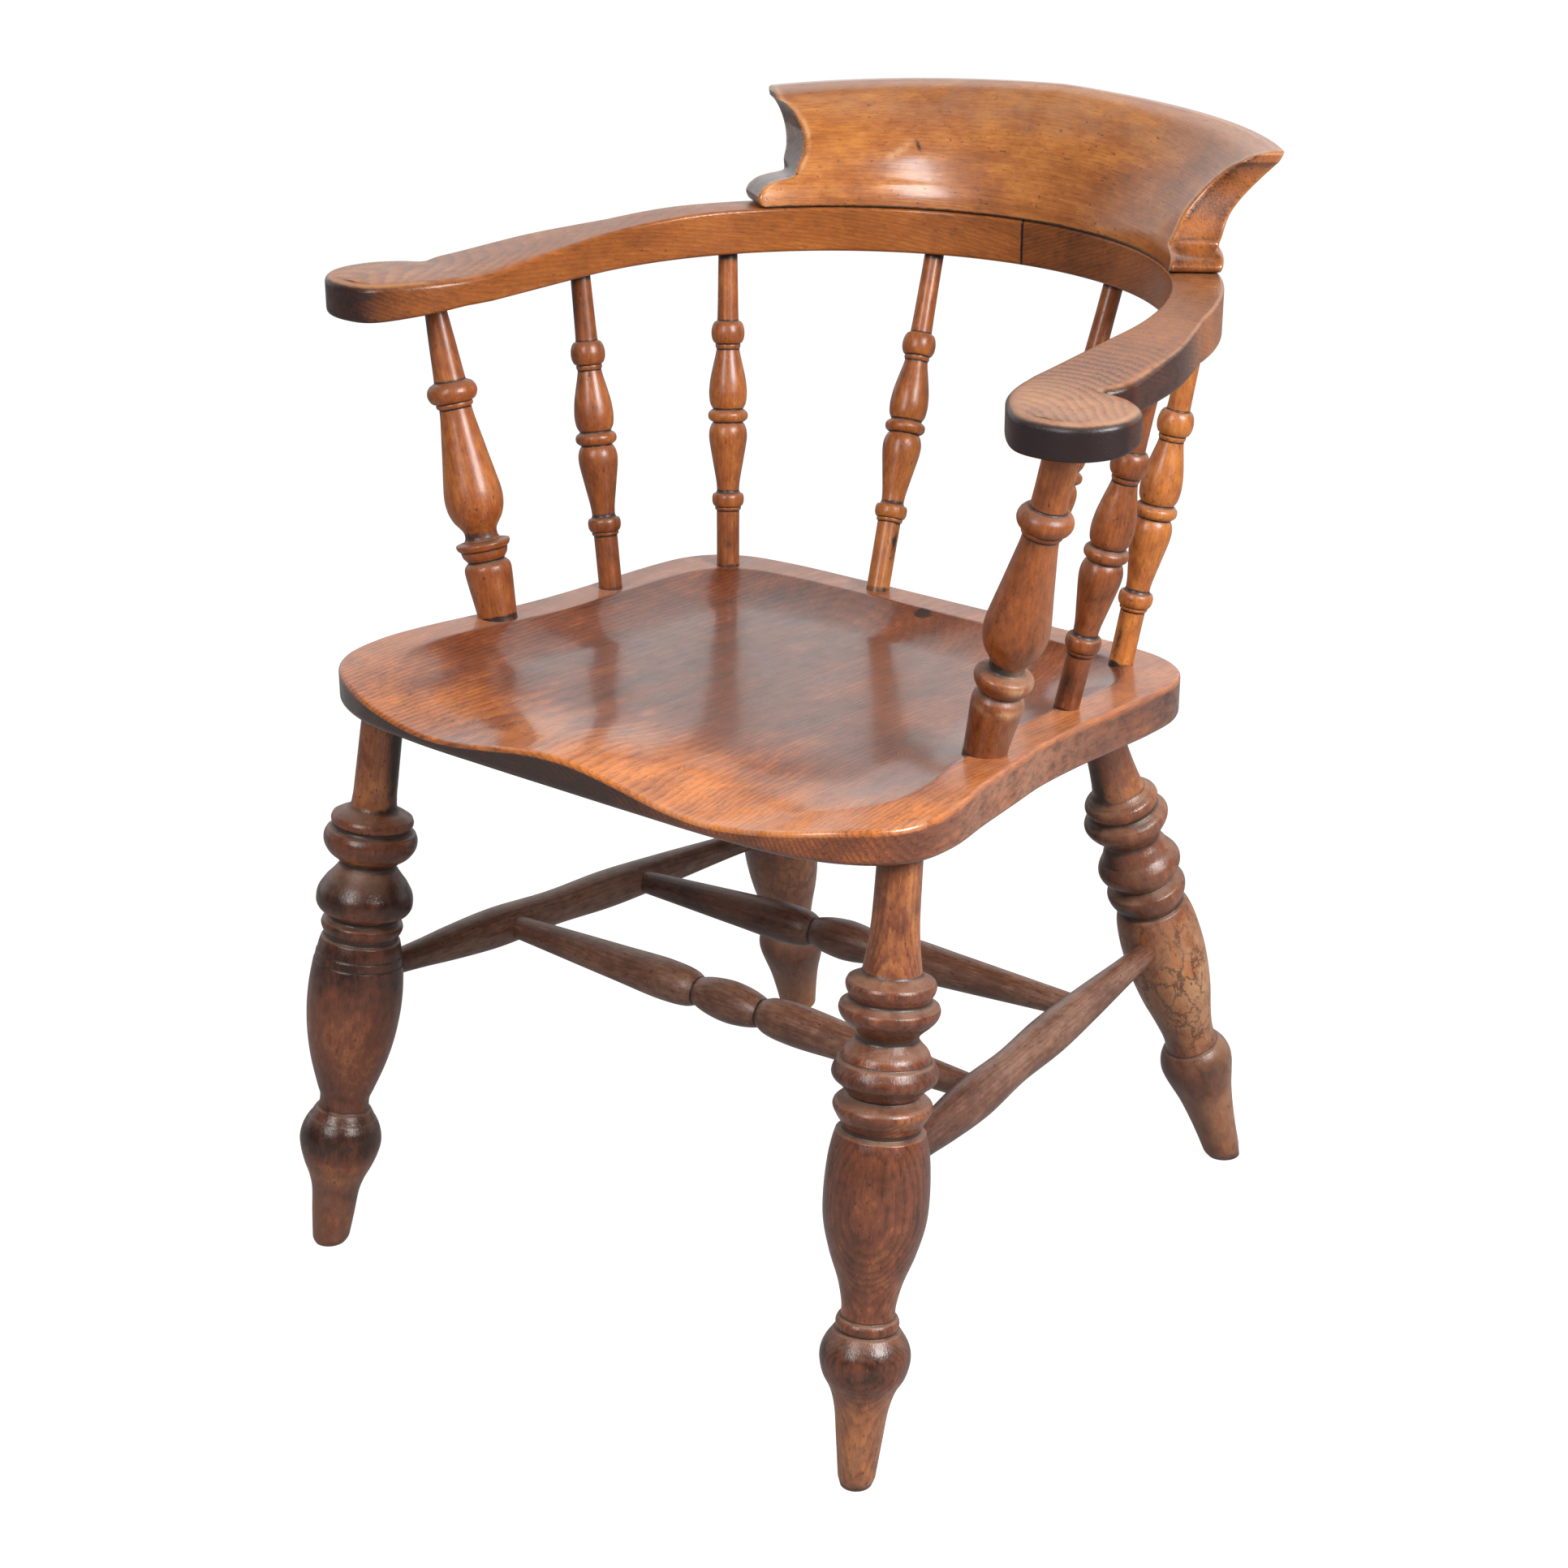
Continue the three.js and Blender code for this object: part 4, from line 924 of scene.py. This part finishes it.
# The plank is sawn flat, with its pith below the left half and the grain from front to back
seat_pith_left = 40
seat_pith_height = 297
seat_pith_rise = 0.05
above_pith = seat_z - seat_pith_height + seat_pith_rise * seat_y
seat_plank = np.stack([seat_x + seat_pith_left, above_pith, seat_y], axis=-1)

# Where the seat's areas of wear, and of painted shade, start and are full, in mm or in shares of the
# outline
front_reach = (110, 200)
left_reach = (-60, 190)
shaded_reach = (-130, -10)
front_wall_reach = (150, 215)
right_wall_reach = (150, 205)
rear_wall_reach = (60, 140)
ledge_reach = (seat_rim_share - 0.01, seat_rim_share + 0.02)
worn_edge_reach = (0.965, 0.99)
rim_line_width = 0.007
rubbed_y, rubbed_reach = -60, 80
knot_x, knot_y, knot_oval = 3.0, 146.0, 1.4
knot_reach = (3.0, 7.5)
all_round = np.ones(seat_around)
on_top = (ring_height == 1) * all_round
on_wall = (ring_share == 1) * (ring_height < 0.97) * all_round
in_front = soft_step(-seat_y, *front_reach)
leftwards = soft_step(-seat_x, *left_reach)
# Painted shade: the front wall darkens towards the left, which faces away from the lamps
painted_shade_leftwards = soft_step(-seat_x, *shaded_reach)
front_wall = on_wall * soft_step(-seat_y, *front_wall_reach)
right_wall = on_wall * soft_step(seat_x, *right_wall_reach) * (1 - front_wall)
rear_top = on_top * (1 - in_front)
ledge = rear_top * soft_step(share, *ledge_reach)
rim_line = rear_top * patch(share - seat_rim_share, 0, rim_line_width, 1)
# The lighter rubbed front edge fades out towards the left, where the front is painted in shade
worn_edge = on_top * in_front * soft_step(share, *worn_edge_reach) * (1 - painted_shade_leftwards)
knot_distance = np.hypot((seat_x - knot_x) / knot_oval, seat_y - knot_y)
seat_marks = worn(
    (1.0, {"tone": 0.42, "figure": 0.6}),
    (on_top * in_front, {"tone": 0.42}),
    (on_top * in_front * leftwards, {"tone": -0.16}),
    (np.maximum(in_front, leftwards), {"figure": 0.4}),
    # The ledge's lighter tone and dust, more on the left, are partly dust and partly a painted sheen of
    # reflected light
    (ledge, {"tone": 0.32, "dust": 0.3}),
    (ledge * leftwards, {"dust": 0.45}),
    (rim_line, {"grime": 0.25}),
    (worn_edge, {"bare": 0.45}),
    (on_wall, {"grime": 0.36}),
    (front_wall, {"tone": 0.1, "grime": -0.06}),
    # Painted shade on the front wall towards the left, with a little grime
    (front_wall * painted_shade_leftwards, {"tone": -0.6, "grime": 0.12}),
    (right_wall, {"tone": 0.12, "dust": 0.15}),
    (right_wall * soft_step(seat_y, *rear_wall_reach), {"grime": 0.12}),
    (right_wall * patch(seat_y - rubbed_y, 0, rubbed_reach, 1), {"bare": 0.4}),
    (on_top * (1 - soft_step(knot_distance, *knot_reach)), {"grime": 0.9}),
    ((ring_height == 0) * (ring_share < 1) * all_round, {"grime": 0.4}),
)
add_piece("dished_seat_plank", "seat", [(seat_net, seat_plank, seat_marks, True)], seat_finish)


# Arm bow
bow_centre_y = 45.0
bow_inner_radius = 217.0
bow_width = 34.0
bow_outer_radius = bow_inner_radius + bow_width
bow_back_top = 680.0
arm_top_slope = 0.0575
arm_thickness_at_datum = 23.5
bow_outer_end = math.radians(12)
bow_rows = 420
half_gap = 0.25
paw_inner_x, paw_outer_x = 217.0, 317.0
paw_front_y, paw_root_y = -130.0, -20.0
arm_flank = {
    "left": [(0.357, 1.9), (0.51, 1.495), (0.625, 1.0), (0.665, 0.838), (0.655, 0.72)],
    "right": [(0.357, 1.9), (0.5, 1.495), (0.592, 1.0), (0.6, 0.838), (0.54, 0.69)],
}
paw = {
    "left": [
        (0.655, 0.72), (0.8, 0.65), (0.946, 0.48), (0.979, 0.225), (0.837, 0.055), (0.61, 0.0),
        (0.375, 0.045), (0.16, 0.27), (0.05, 0.5), (0.0, 0.73),
    ],
    "right": [
        (0.54, 0.69), (0.765, 0.635), (0.946, 0.47), (0.979, 0.225), (0.837, 0.055), (0.61, 0.0),
        (0.375, 0.045), (0.16, 0.27), (0.05, 0.5), (0.0, 0.73),
    ],
}
# The paws are thicker than the arms behind them: they swell up, and down by these amounts
paw_rise = 2.6
paw_rise_reach = (-115.0, -45.0)
paw_sag = {"left": 7.6, "right": 4.0}
paw_sag_reach = (-70.0, -130.0)
paw_sag_power = 1.2
bow_bend = 0.35
arc_points = 240
paw_step = 0.6


def bow_top(y):
    """The bow's top, level behind and falling towards the front; the two planes meet in a soft bend."""
    slope_height = bow_underside + arm_thickness_at_datum + arm_top_slope * y
    gap = bow_back_top - slope_height
    swell = paw_rise * (1 - soft_step(y, *paw_rise_reach))
    return bow_back_top - bow_bend * np.logaddexp(0, gap / bow_bend) + swell


def bow_bottom(y, side):
    """The bow's underside, level but for the sag of the paw."""
    start, end = paw_sag_reach
    return bow_underside - paw_sag[side] * np.clip((y - start) / (end - start), 0, None) ** paw_sag_power


def arc(radius, start, finish):
    angle = np.linspace(start, finish, arc_points)
    return np.stack([radius * np.cos(angle), bow_centre_y + radius * np.sin(angle)], axis=1)


def paw_curve(shares):
    size = (paw_outer_x - paw_inner_x, paw_root_y - paw_front_y)
    return fair_curve(np.array(shares) * size + (paw_inner_x, paw_front_y), paw_step, knot_power=0.0)


def right_normals(curve):
    """Unit normals on the right of a plan curve."""
    step = np.gradient(curve, axis=0)
    return np.stack([step[:, 1], -step[:, 0]], axis=1) / np.linalg.norm(step, axis=1)[:, None]


# The rounding of the edges grows from bow to paw, between these places from front to back
arm_reach = (-60, 60)
bow_inset, paw_inset = 2.6, 7.0
bow_drop, paw_drop = 2.2, 4.6
bow_crown, paw_crown = 0.2, 0.7
under_round = 2.6
# Across the rim from top to underside: share of the top's inset and of the underside's, share
# of the height, share of the top's drop and of the underside's lift, and how far it is wall
rim_top_rows, rim_wall_rows, rim_under_rows = 9, 9, 6
arm_columns = 17
joint_columns = 6
top_turns = np.linspace(0, half_pi, rim_top_rows)
under_turns = np.linspace(0, half_pi, rim_under_rows)
wall_falls = np.linspace(0, 1, rim_wall_rows)[1:-1]
top_quarter = [(1 - math.sin(t), 0, 1, 1 - math.cos(t), 0, t / half_pi) for t in top_turns]
wall_fall = [(0, 0, 1 - fall, 1 - fall, fall, 1) for fall in wall_falls]
under_quarter = [(0, 1 - math.cos(t), 0, 0, 1 - math.sin(t), 1) for t in under_turns]
rim_profile = np.array(top_quarter + wall_fall + under_quarter).T
across = np.linspace(-1, 1, arm_columns)
middle_column = arm_columns // 2


def bridge(first, second, shares):
    """Straight rows from each point of one line to its partner on another."""
    return mix(first[:, None], second[:, None], shares[None, :, None])


def arm_nets(side):
    """Rim, top, underside and joint of one arm, mirrored to x > 0, and how far its rim looks forward.

    The outline has an outer and an inner edge, both walked from the joint to the paw's tip.
    """
    whole = paw_curve(paw[side])
    tip = int(np.argmin(whole[:, 1]))
    flank = paw_curve(arm_flank[side])
    outer = [arc(bow_outer_radius, half_pi, bow_outer_end)[:-1], flank[:-1], whole[:tip + 1]]
    inner = [arc(bow_inner_radius, half_pi, 0)[:-1], whole[tip:][::-1]]
    edges = [evenly(np.vstack(outer), bow_rows), evenly(np.vstack(inner), bow_rows)]
    normals = [-right_normals(edges[0]), right_normals(edges[1])]
    towards_paw = 1 - soft_step((edges[0][:, 1] + edges[1][:, 1]) / 2, *arm_reach)[:, None]
    crown = mix(bow_crown, paw_crown, towards_paw)
    inset_share, under_share, level, drop_share, lift_share, _ = rim_profile
    inset = mix(bow_inset, paw_inset, towards_paw) * inset_share + under_round * under_share
    lift = under_round * lift_share - mix(bow_drop, paw_drop, towards_paw) * drop_share
    rims = []
    for edge, normal in zip(edges, normals):
        normal[-1] = (0, -1)
        place = edge[:, None] - normal[:, None] * inset[..., None]
        z = mix(bow_bottom(place[..., 1], side), bow_top(place[..., 1]) - crown, level) + lift
        rims.append(np.concatenate([place, z[..., None]], axis=-1))
    upper = bridge(rims[0][:, 0], rims[1][:, 0], (across + 1) / 2)
    upper[..., 2] = bow_top(upper[..., 1]) - crown * across ** 2
    lower = bridge(rims[0][:, -1], rims[1][:, -1], (across + 1) / 2)
    outer_half = [upper[0, middle_column::-1], rims[0][0, 1:-1], lower[0, :middle_column + 1]]
    inner_half = [upper[0, middle_column:], rims[1][0, 1:-1], lower[0, :middle_column - 1:-1]]
    joint = bridge(np.vstack(outer_half), np.vstack(inner_half), np.linspace(0, 1, joint_columns))
    rim = np.vstack([rims[0], rims[1][-2::-1]])
    forward = -np.vstack([normals[0], normals[1][-2::-1]])[:, 1:]
    return {"rim": rim, "top": upper, "under": lower, "joint": joint}, forward


# Each arm's own plank: how far in its pith lies, how steeply the paw is cut, where it starts
arm_planks = {"left": (46, 0.16, -1800), "right": (10, 0.34, 1800)}
bow_pith_height = 578
bow_pith_drift = 0.1
bow_tilt_start = -80


def bow_plank(net, side):
    """Places in the plank: the grain follows the bend, and the paw's top is cut at a tilt."""
    pith_in, tilt, start = arm_planks[side]
    x, y, z = np.moveaxis(net, -1, 0)
    middle_radius = bow_inner_radius + bow_width / 2
    behind = np.maximum(y - bow_centre_y, 0)
    along = np.minimum(y, bow_centre_y) + middle_radius * np.arctan2(behind, np.abs(x))
    out = np.hypot(x, behind) - middle_radius - pith_in + bow_pith_drift * along
    above = z - bow_pith_height + tilt * (along - bow_tilt_start)
    return np.stack([out, above, along + start], axis=-1)


# Where the arms' areas of wear start and are full: mm out from the middle (x) or backwards (y)
joint_x = (0.7, 1.7)
back_x, back_y = (50, 130), (150, 220)
paw_y = (-95, -25)
tip_y = (-128, -92)
flank_y = (90, 210)
handled_y = (20, 120)
outer_edge_x = (275, 312)
outer_front_x = (215, 270)
# Stains from the hands: x and y, then the reach each way
stain_behind = (202, 30, 3, 12)
stain_ahead = (199, -3, 2, 9)
# Around the rim's own profile: where its wall starts, and the rubbed arris above it
wall_reach = (0.25, 0.7)
arris_place, arris_width = 0.35, 0.2
edge_below_from = 0.3
# How far the rim looks forward where a paw's front starts and is full
front_facing = {"left": (-0.3, 0.4), "right": (-0.4, 0.4)}
# Hands leave grime on a paw's front and flank and darken them; of the two, the stronger counts
hand_grime = {"left": (0.5, 0.2), "right": (0.95, 0.4)}
hand_shade = {"left": (0.45, 0.0), "right": (0.5, 0.65)}
rim_is_outer = np.arange(2 * bow_rows - 1)[:, None] < bow_rows


def spot(across, along, place):
    """A soft spot; place is its middle across and along, then its reach each way."""
    return patch(across - place[0], along - place[1], *place[2:])


def arm_wear(part, side, net, forward):
    """Areas of wear on one net of an arm, each with the strengths of its marks."""
    x, y = net[..., 0], net[..., 1]
    on_right = side == "right"
    on_paw = 1 - soft_step(y, *paw_y)
    on_arm = 1 - soft_step(y, *arm_reach)
    rows = [(1.0, {"tone": 0.5, "figure": 0.2}), (1 - soft_step(x, *joint_x), {"grime": 0.9})]
    if on_right:
        rows.append(((1 - soft_step(x, *back_x)) * soft_step(y, *back_y), {"tone": -0.2}))
    if part == "under":
        rows.append((1.0, {"grime": 0.3}))
    if part == "joint":
        rows.append((1.0, {"grime": 0.1}))
    if part == "top" and on_right:
        rows += [
            (1.0, {"tone": -0.1, "dust": 0.15}),
            (on_arm, {"figure": 0.8}),
            (on_paw, {"tone": 0.28, "dust": 0.42}),
            (1 - soft_step(y, *tip_y), {"tone": -0.35}),
        ]
    if part == "top" and not on_right:
        rows += [
            (on_arm, {"figure": 0.3}),
            (on_paw, {"tone": 0.15}),
            (on_paw * soft_step(x, *outer_edge_x), {"grime": 0.4}),
            (spot(x, y, stain_behind), {"grime": 0.6}),
            (spot(x, y, stain_ahead), {"grime": 0.5}),
        ]
    if part == "rim":
        wall = soft_step(rim_profile[5], *wall_reach)
        arris = patch(rim_profile[5] - arris_place, 0, arris_width, 1) * (rim_profile[2] == 1)
        edge_below = (rim_profile[2] == 0) * (rim_profile[1] > edge_below_from)
        front = on_paw * soft_step(forward, *front_facing[side])
        flank = held_flank = rim_is_outer * (1 - soft_step(y, *flank_y))
        if on_right:
            held_flank = flank * (1 - soft_step(y, *handled_y))
            rows += [
                (1 - wall, {"tone": -0.1, "dust": 0.15}),
                ((1 - wall) * on_paw, {"dust": 0.42}),
                (wall * (flank - held_flank), {"dust": 0.2}),
                (arris * flank, {"bare": 0.25}),
            ]
        else:
            front = front * soft_step(x, *outer_front_x)
            rows.append((arris * on_paw, {"bare": 0.4}))
        held = wall[:, None] * np.stack([front, held_flank], axis=-1)
        rows += [
            (edge_below, {"grime": 0.2}),
            ((held * hand_grime[side]).max(axis=-1), {"grime": 1}),
            ((held * hand_shade[side]).max(axis=-1), {"tone": -1}),
        ]
    return rows


for side, sign in (("left", -1), ("right", 1)):
    part_nets, forward = arm_nets(side)
    nets = []
    for part, net in part_nets.items():
        net[..., 0] = np.maximum(net[..., 0], half_gap)
        marks = worn(*arm_wear(part, side, net, forward))
        mirrored = net * (sign, 1, 1)
        nets.append((mirrored, bow_plank(mirrored, side), marks, False))
    add_piece(f"{side}_bent_arm", f"arm_bow_{side}", nets, bow_finish)


# Crest rail
crest_end_flare = 76.0
crest_middle_flare = 48.0
crest_end_rise = 75.0
crest_middle_rise = 89.0
crest_flare_power = 1.7
crest_droop_power = 1.25
crest_foot_gap = 0.3
crest_columns = 300
# Section from foot to top: share of the height, of the flare on the front, of the flare on the back
crest_section = [
    (0.0, 0.0, 0.0), (0.06, 0.01, 0.03), (0.13, 0.03, 0.06), (0.19, 0.06, 0.09), (0.22, 0.08, 0.11),
    (0.32, 0.14, 0.16), (0.45, 0.22, 0.26), (0.6, 0.34, 0.46), (0.75, 0.47, 0.7), (0.88, 0.6, 0.9),
    (0.96, 0.72, 0.98), (1.0, 0.9, 1.0),
]
# Where each height ends, as the turn about the bow's centre on the front and on the back
crest_ends = [
    (0.0, 39.0, 38.5, 0), (0.03, 38.4, 37.85, 0), (0.07, 38.2, 37.6, 0), (0.11, 38.7, 38.05, 0),
    (0.15, 40.0, 39.3, 0), (0.175, 41.8, 41.15, 0), (0.19, 44.0, 43.3, 1), (0.215, 45.2, 44.1, 0),
    (0.32, 46.2, 44.1, 0), (0.45, 47.3, 44.6, 0), (0.6, 47.4, 44.7, 0), (0.75, 46.4, 44.3, 0),
    (0.86, 44.9, 43.6, 0), (0.91, 43.5, 43.0, 1), (1.0, 43.1, 42.9, 0),
]
# Height share of the rolled foot at each end of the crest
crest_roll = {"left": 0.255, "right": 0.158}
crest_roll_pattern = 0.19
# Both are made fair near their size in mm, where a degree counts as six at the ends
section_scale, section_step = (100, 50, 50), 0.8
section_curve = fair_curve(np.array(crest_section) * section_scale, section_step) / section_scale
end_scale, end_step = (100, 6, 6), 0.5
end_rows = np.array(crest_ends)
end_corners = np.flatnonzero(end_rows[:, 3])
end_curve = fair_curve(end_rows[:, :3] * end_scale, end_step, end_corners) / end_scale


def crest_point(sweep, rise, depth):
    """A place in the block: sweep -1..1 along it, rise 0..1 up it and depth 0..1 from front to back."""
    outward = np.abs(sweep)
    flare = mix(crest_middle_flare, crest_end_flare, np.sin(half_pi * outward) ** crest_flare_power)
    top = bow_back_top + mix(crest_middle_rise, crest_end_rise, outward ** crest_droop_power)
    front = np.interp(rise, section_curve[:, 0], section_curve[:, 1]) * flare
    back = mix(bow_width, flare, np.interp(rise, section_curve[:, 0], section_curve[:, 2]))
    roll = mix(crest_roll["left"], crest_roll["right"], (sweep + 1) / 2)
    above_roll = mix(crest_roll_pattern, 1, (rise - roll) / (1 - roll))
    end_rise = np.where(rise < roll, rise / roll * crest_roll_pattern, above_roll)
    front_end = np.interp(end_rise, end_curve[:, 0], end_curve[:, 1])
    back_end = np.interp(end_rise, end_curve[:, 0], end_curve[:, 2])
    angle = np.radians(90 - sweep * (90 - mix(front_end, back_end, depth)))
    reach = bow_inner_radius + mix(front, back, depth)
    height = mix(bow_back_top + crest_foot_gap, top, rise)
    return np.stack([reach * np.cos(angle), bow_centre_y + reach * np.sin(angle), height], axis=-1)


# The section's outline in mm, from the middle of the top down the front to the middle of the foot
block_height, block_depth = 82.0, 30.0
crest_top_round, crest_foot_round = 2.4, 0.9
flat_points, top_points, foot_points, side_points = 5, 6, 4, 130
top_turn = np.linspace(0, half_pi, top_points)
foot_turn = np.linspace(0, half_pi, foot_points)
side_heights = np.linspace(block_height - crest_top_round, crest_foot_round, side_points)[1:-1]
loop_up = np.concatenate([
    np.full(flat_points, block_height),
    block_height - crest_top_round * (1 - np.cos(top_turn)),
    side_heights,
    crest_foot_round * (1 - np.sin(foot_turn)),
    np.zeros(flat_points),
])
loop_back = np.concatenate([
    np.linspace(block_depth / 2, crest_top_round, flat_points + 1)[:-1],
    crest_top_round * (1 - np.sin(top_turn)),
    np.zeros(len(side_heights)),
    crest_foot_round * (1 - np.cos(foot_turn)),
    np.linspace(crest_foot_round, block_depth / 2, flat_points + 1)[1:],
])


def crest_loop(inset):
    """The whole outline as shares of height and depth, drawn in by inset mm; front half first."""
    rise = np.clip(loop_up, min(inset, crest_foot_round), block_height - inset) / block_height
    depth = np.clip(loop_back, inset, block_depth / 2) / block_depth
    return np.concatenate([rise, rise[::-1]]), np.concatenate([depth, 1 - depth[::-1]])


crest_end_round = 2.6
sweep_length = 185.0
end_share = crest_end_round / sweep_length
rounded = [
    (end_share * (1 - math.sin(t)) - 1, crest_end_round * (1 - math.cos(t)))
    for t in np.linspace(half_pi, 0, top_points)
]
plain = [(sweep, 0.0) for sweep in np.linspace(end_share - 1, 1 - end_share, crest_columns)[1:-1]]
sweeps = rounded + plain + [(-sweep, inset) for sweep, inset in rounded[::-1]]
crest_net = np.stack([crest_point(sweep, *crest_loop(inset)) for sweep, inset in sweeps])
crest_sweep = np.array(sweeps)[:, :1]


# The plank's pith lies in front of the crest's foot, and below it
crest_pith_in, crest_pith_height, crest_pith_rise = 110, 665, 0.02
crest_plank_start = 3000


def crest_plank(net):
    """Places in the plank, whose grain follows the bend."""
    x, y, z = np.moveaxis(net, -1, 0)
    along = np.arctan2(x, y - bow_centre_y) * bow_outer_radius
    out = np.hypot(x, y - bow_centre_y) - bow_inner_radius + crest_pith_in
    above = z - crest_pith_height + crest_pith_rise * along
    return np.stack([out, above, along + crest_plank_start], axis=-1)


# Where the crest's areas of wear and painted shade start and are full: mm sideways, up, or over the bow
right_side_x = (50, 170)
dusty_top_z = (730, 750)
# The next two give the painted shadow in the right end's scoop, under the front ridge
front_rim_z = (700, 712)
front_rim_depth = (0.05, 0.5)
foot_above_bow = (0.8, 3.2)
front_face_depth = 45
# Spots: their middle and their reach each way, sideways and up, or for the last two at a slant
speckled_place = (25, 722, 40, 15)
dent_place = (-90, 722, 3, 12)
chip_place = (-102, 719, 11, 4)
groove_z, groove_reach = 697, 2
rubbed_sweep, rubbed_sweep_reach = 0.985, 0.008


def slanting_spot(x, z, place):
    """A soft spot whose reaches run at a slant, half right and half left of upright."""
    aside, up = x - place[0], z - place[1]
    return patch(aside + up, up - aside, *place[2:])


def crest_marks(net, end_face, sweep, depth):
    x, y, z = np.moveaxis(net, -1, 0)
    body = 1 - end_face
    right_end = end_face * (x > 0)
    in_front = (np.hypot(x, y - bow_centre_y) < bow_inner_radius + front_face_depth) * body
    ridge_painted_shadow = (1 - soft_step(depth, *front_rim_depth)) * soft_step(z, *front_rim_z)
    return worn(
        (1.0, {"tone": 0.6}),
        (soft_step(x, *right_side_x), {"tone": -0.12}),
        (1 - soft_step(z - bow_back_top, *foot_above_bow), {"grime": 0.7}),
        (body * soft_step(z, *dusty_top_z), {"dust": 0.38}),
        (body * patch(np.abs(sweep) - rubbed_sweep, 0, rubbed_sweep_reach, 1), {"bare": 0.6}),
        (in_front * spot(x, z, speckled_place), {"grime": 0.3}),
        (in_front * slanting_spot(x, z, dent_place), {"grime": 0.5}),
        (in_front * slanting_spot(x, z, chip_place), {"bare": 1.0}),
        # The left end face is darker: painted shade, as it faces away from the lamps, and some grime
        (end_face * (x < 0), {"tone": -0.55, "grime": 0.45}),
        (right_end, {"tone": -0.25}),
        (right_end * patch(z - groove_z, 0, groove_reach, 1), {"grime": 0.4}),
        # Painted shadow in the right end's scoop, under the front ridge
        (right_end * ridge_painted_shadow, {"grime": 0.45}),
    )


half = crest_net.shape[1] // 2
nets = [(crest_net, crest_plank(crest_net), crest_marks(crest_net, 0, crest_sweep, 0), True)]
end_face_columns = 12
for row in (0, -1):
    depth = np.linspace(0, 1, end_face_columns)
    cap = bridge(crest_net[row, :half], crest_net[row, ::-1][:half], depth)
    nets.append((cap, crest_plank(cap), crest_marks(cap, 1, 0, depth), False))
add_piece("scooped_crest_rail", "crest_rail", nets, crest_finish)

for name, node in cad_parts.items():
    if "dowel" in name:
        node.data.materials.clear()
        node.data.materials.append(dowel_finish)


# Studio: white paper on the floor that keeps the shadow, white surroundings and two soft boxes
floor_size = 40.0
floor_own_light = 0.93
mirrored_floor_share = 0.2
floor_tone = 0.22
floor_paint = empty_material("white_floor_paper")
tree = floor_paint.node_tree
add(tree, "rays", "LightPath")
add(tree, "mirrored", "Math", {0: "rays/Is Glossy Ray", 1: mirrored_floor_share}, **times)
add(tree, "seen or mirrored", "Math", {0: "rays/Is Camera Ray", 1: "mirrored"}, **larger)
add(tree, "seen", "Math", {0: "seen or mirrored", 1: "rays/Is Transmission Ray"}, **larger)
add(tree, "own light", "Math", {0: "seen", 1: floor_own_light}, **times)
add(tree, "paper", "BsdfDiffuse", {"Color": (floor_tone, floor_tone, floor_tone, 1)})
add(tree, "glow", "Emission", {"Color": (1, 1, 1, 1), "Strength": "own light"})
add(tree, "glowing paper", "AddShader", {0: "paper", 1: "glow"})
add(tree, "output", "OutputMaterial", {"Surface": "glowing paper"})
corner = floor_size / 2
floor_corners = [(-corner, -corner, 0), (corner, -corner, 0), (corner, corner, 0), (-corner, corner, 0)]
floor_mesh = bpy.data.meshes.new("studio_floor")
floor_mesh.from_pydata(floor_corners, [], [(0, 1, 2, 3)])
floor_mesh.materials.append(floor_paint)
floor = bpy.data.objects.new("studio_floor", floor_mesh)
bpy.context.scene.collection.objects.link(floor)

# In reflections the white sheet hangs behind the chair, and the room in front of it is dimmer
room_light = 0.38
dim_room = 0.1
sheet_direction = (-0.62, 0.78, -0.25)
# The sheet's soft edge, as the cosine off its direction, and the room's light before and on it
sheet_edge = {1: 0.0, 2: 0.45, 3: dim_room, 4: 1.0}
world = bpy.data.worlds.new("studio_room")
bpy.context.scene.world = world
world.use_nodes = True
tree = world.node_tree
tree.nodes.clear()
add(tree, "rays", "LightPath")
add(tree, "heading", "TexCoord")
add(tree, "behind", "VectorMath", {0: "heading/Generated", 1: sheet_direction}, operation="DOT_PRODUCT")
add(tree, "sheet", "MapRange", {0: "behind/Value", **sheet_edge}, **soft)
add(tree, "mirrored", "Math", {0: "sheet", 1: "rays/Is Glossy Ray"}, **times)
add(tree, "not mirrored", "Math", {0: 1.0, 1: "rays/Is Glossy Ray"}, operation="SUBTRACT")
add(tree, "indirect", "Math", {0: "not mirrored", 1: room_light, 2: "mirrored"}, **times_and_add)
add(tree, "direct", "Math", {0: "rays/Is Camera Ray", 1: "rays/Is Transmission Ray"}, **larger)
add(tree, "strength", "Math", {0: "indirect", 1: "direct"}, **larger)
add(tree, "sky", "Background", {"Color": (1, 1, 1, 1), "Strength": "strength"})
add(tree, "output", "OutputWorld", {"Surface": "sky"})

light_target = np.array([0.0, 0.0, 0.45])


def soft_box(name, azimuth, elevation, distance, width, height, power):
    """A flat lamp seen from the chair at azimuth, in degrees from +X towards +Y, and at elevation."""
    a, e = math.radians(azimuth), math.radians(elevation)
    towards_lamp = np.array([math.cos(a) * math.cos(e), math.sin(a) * math.cos(e), math.sin(e)])
    data = bpy.data.lights.new(name, "AREA")
    data.shape = "RECTANGLE"
    data.size = width
    data.size_y = height
    data.energy = power
    lamp = bpy.data.objects.new(name, data)
    lamp.location = light_target + distance * towards_lamp
    lamp.rotation_euler = (half_pi - e, 0, a + half_pi)
    bpy.context.scene.collection.objects.link(lamp)


soft_box("right_soft_box", azimuth=-5, elevation=34, distance=2.3, width=1.0, height=1.0, power=78)
soft_box("left_soft_box", azimuth=-88, elevation=34, distance=2.3, width=0.6, height=1.3, power=28)
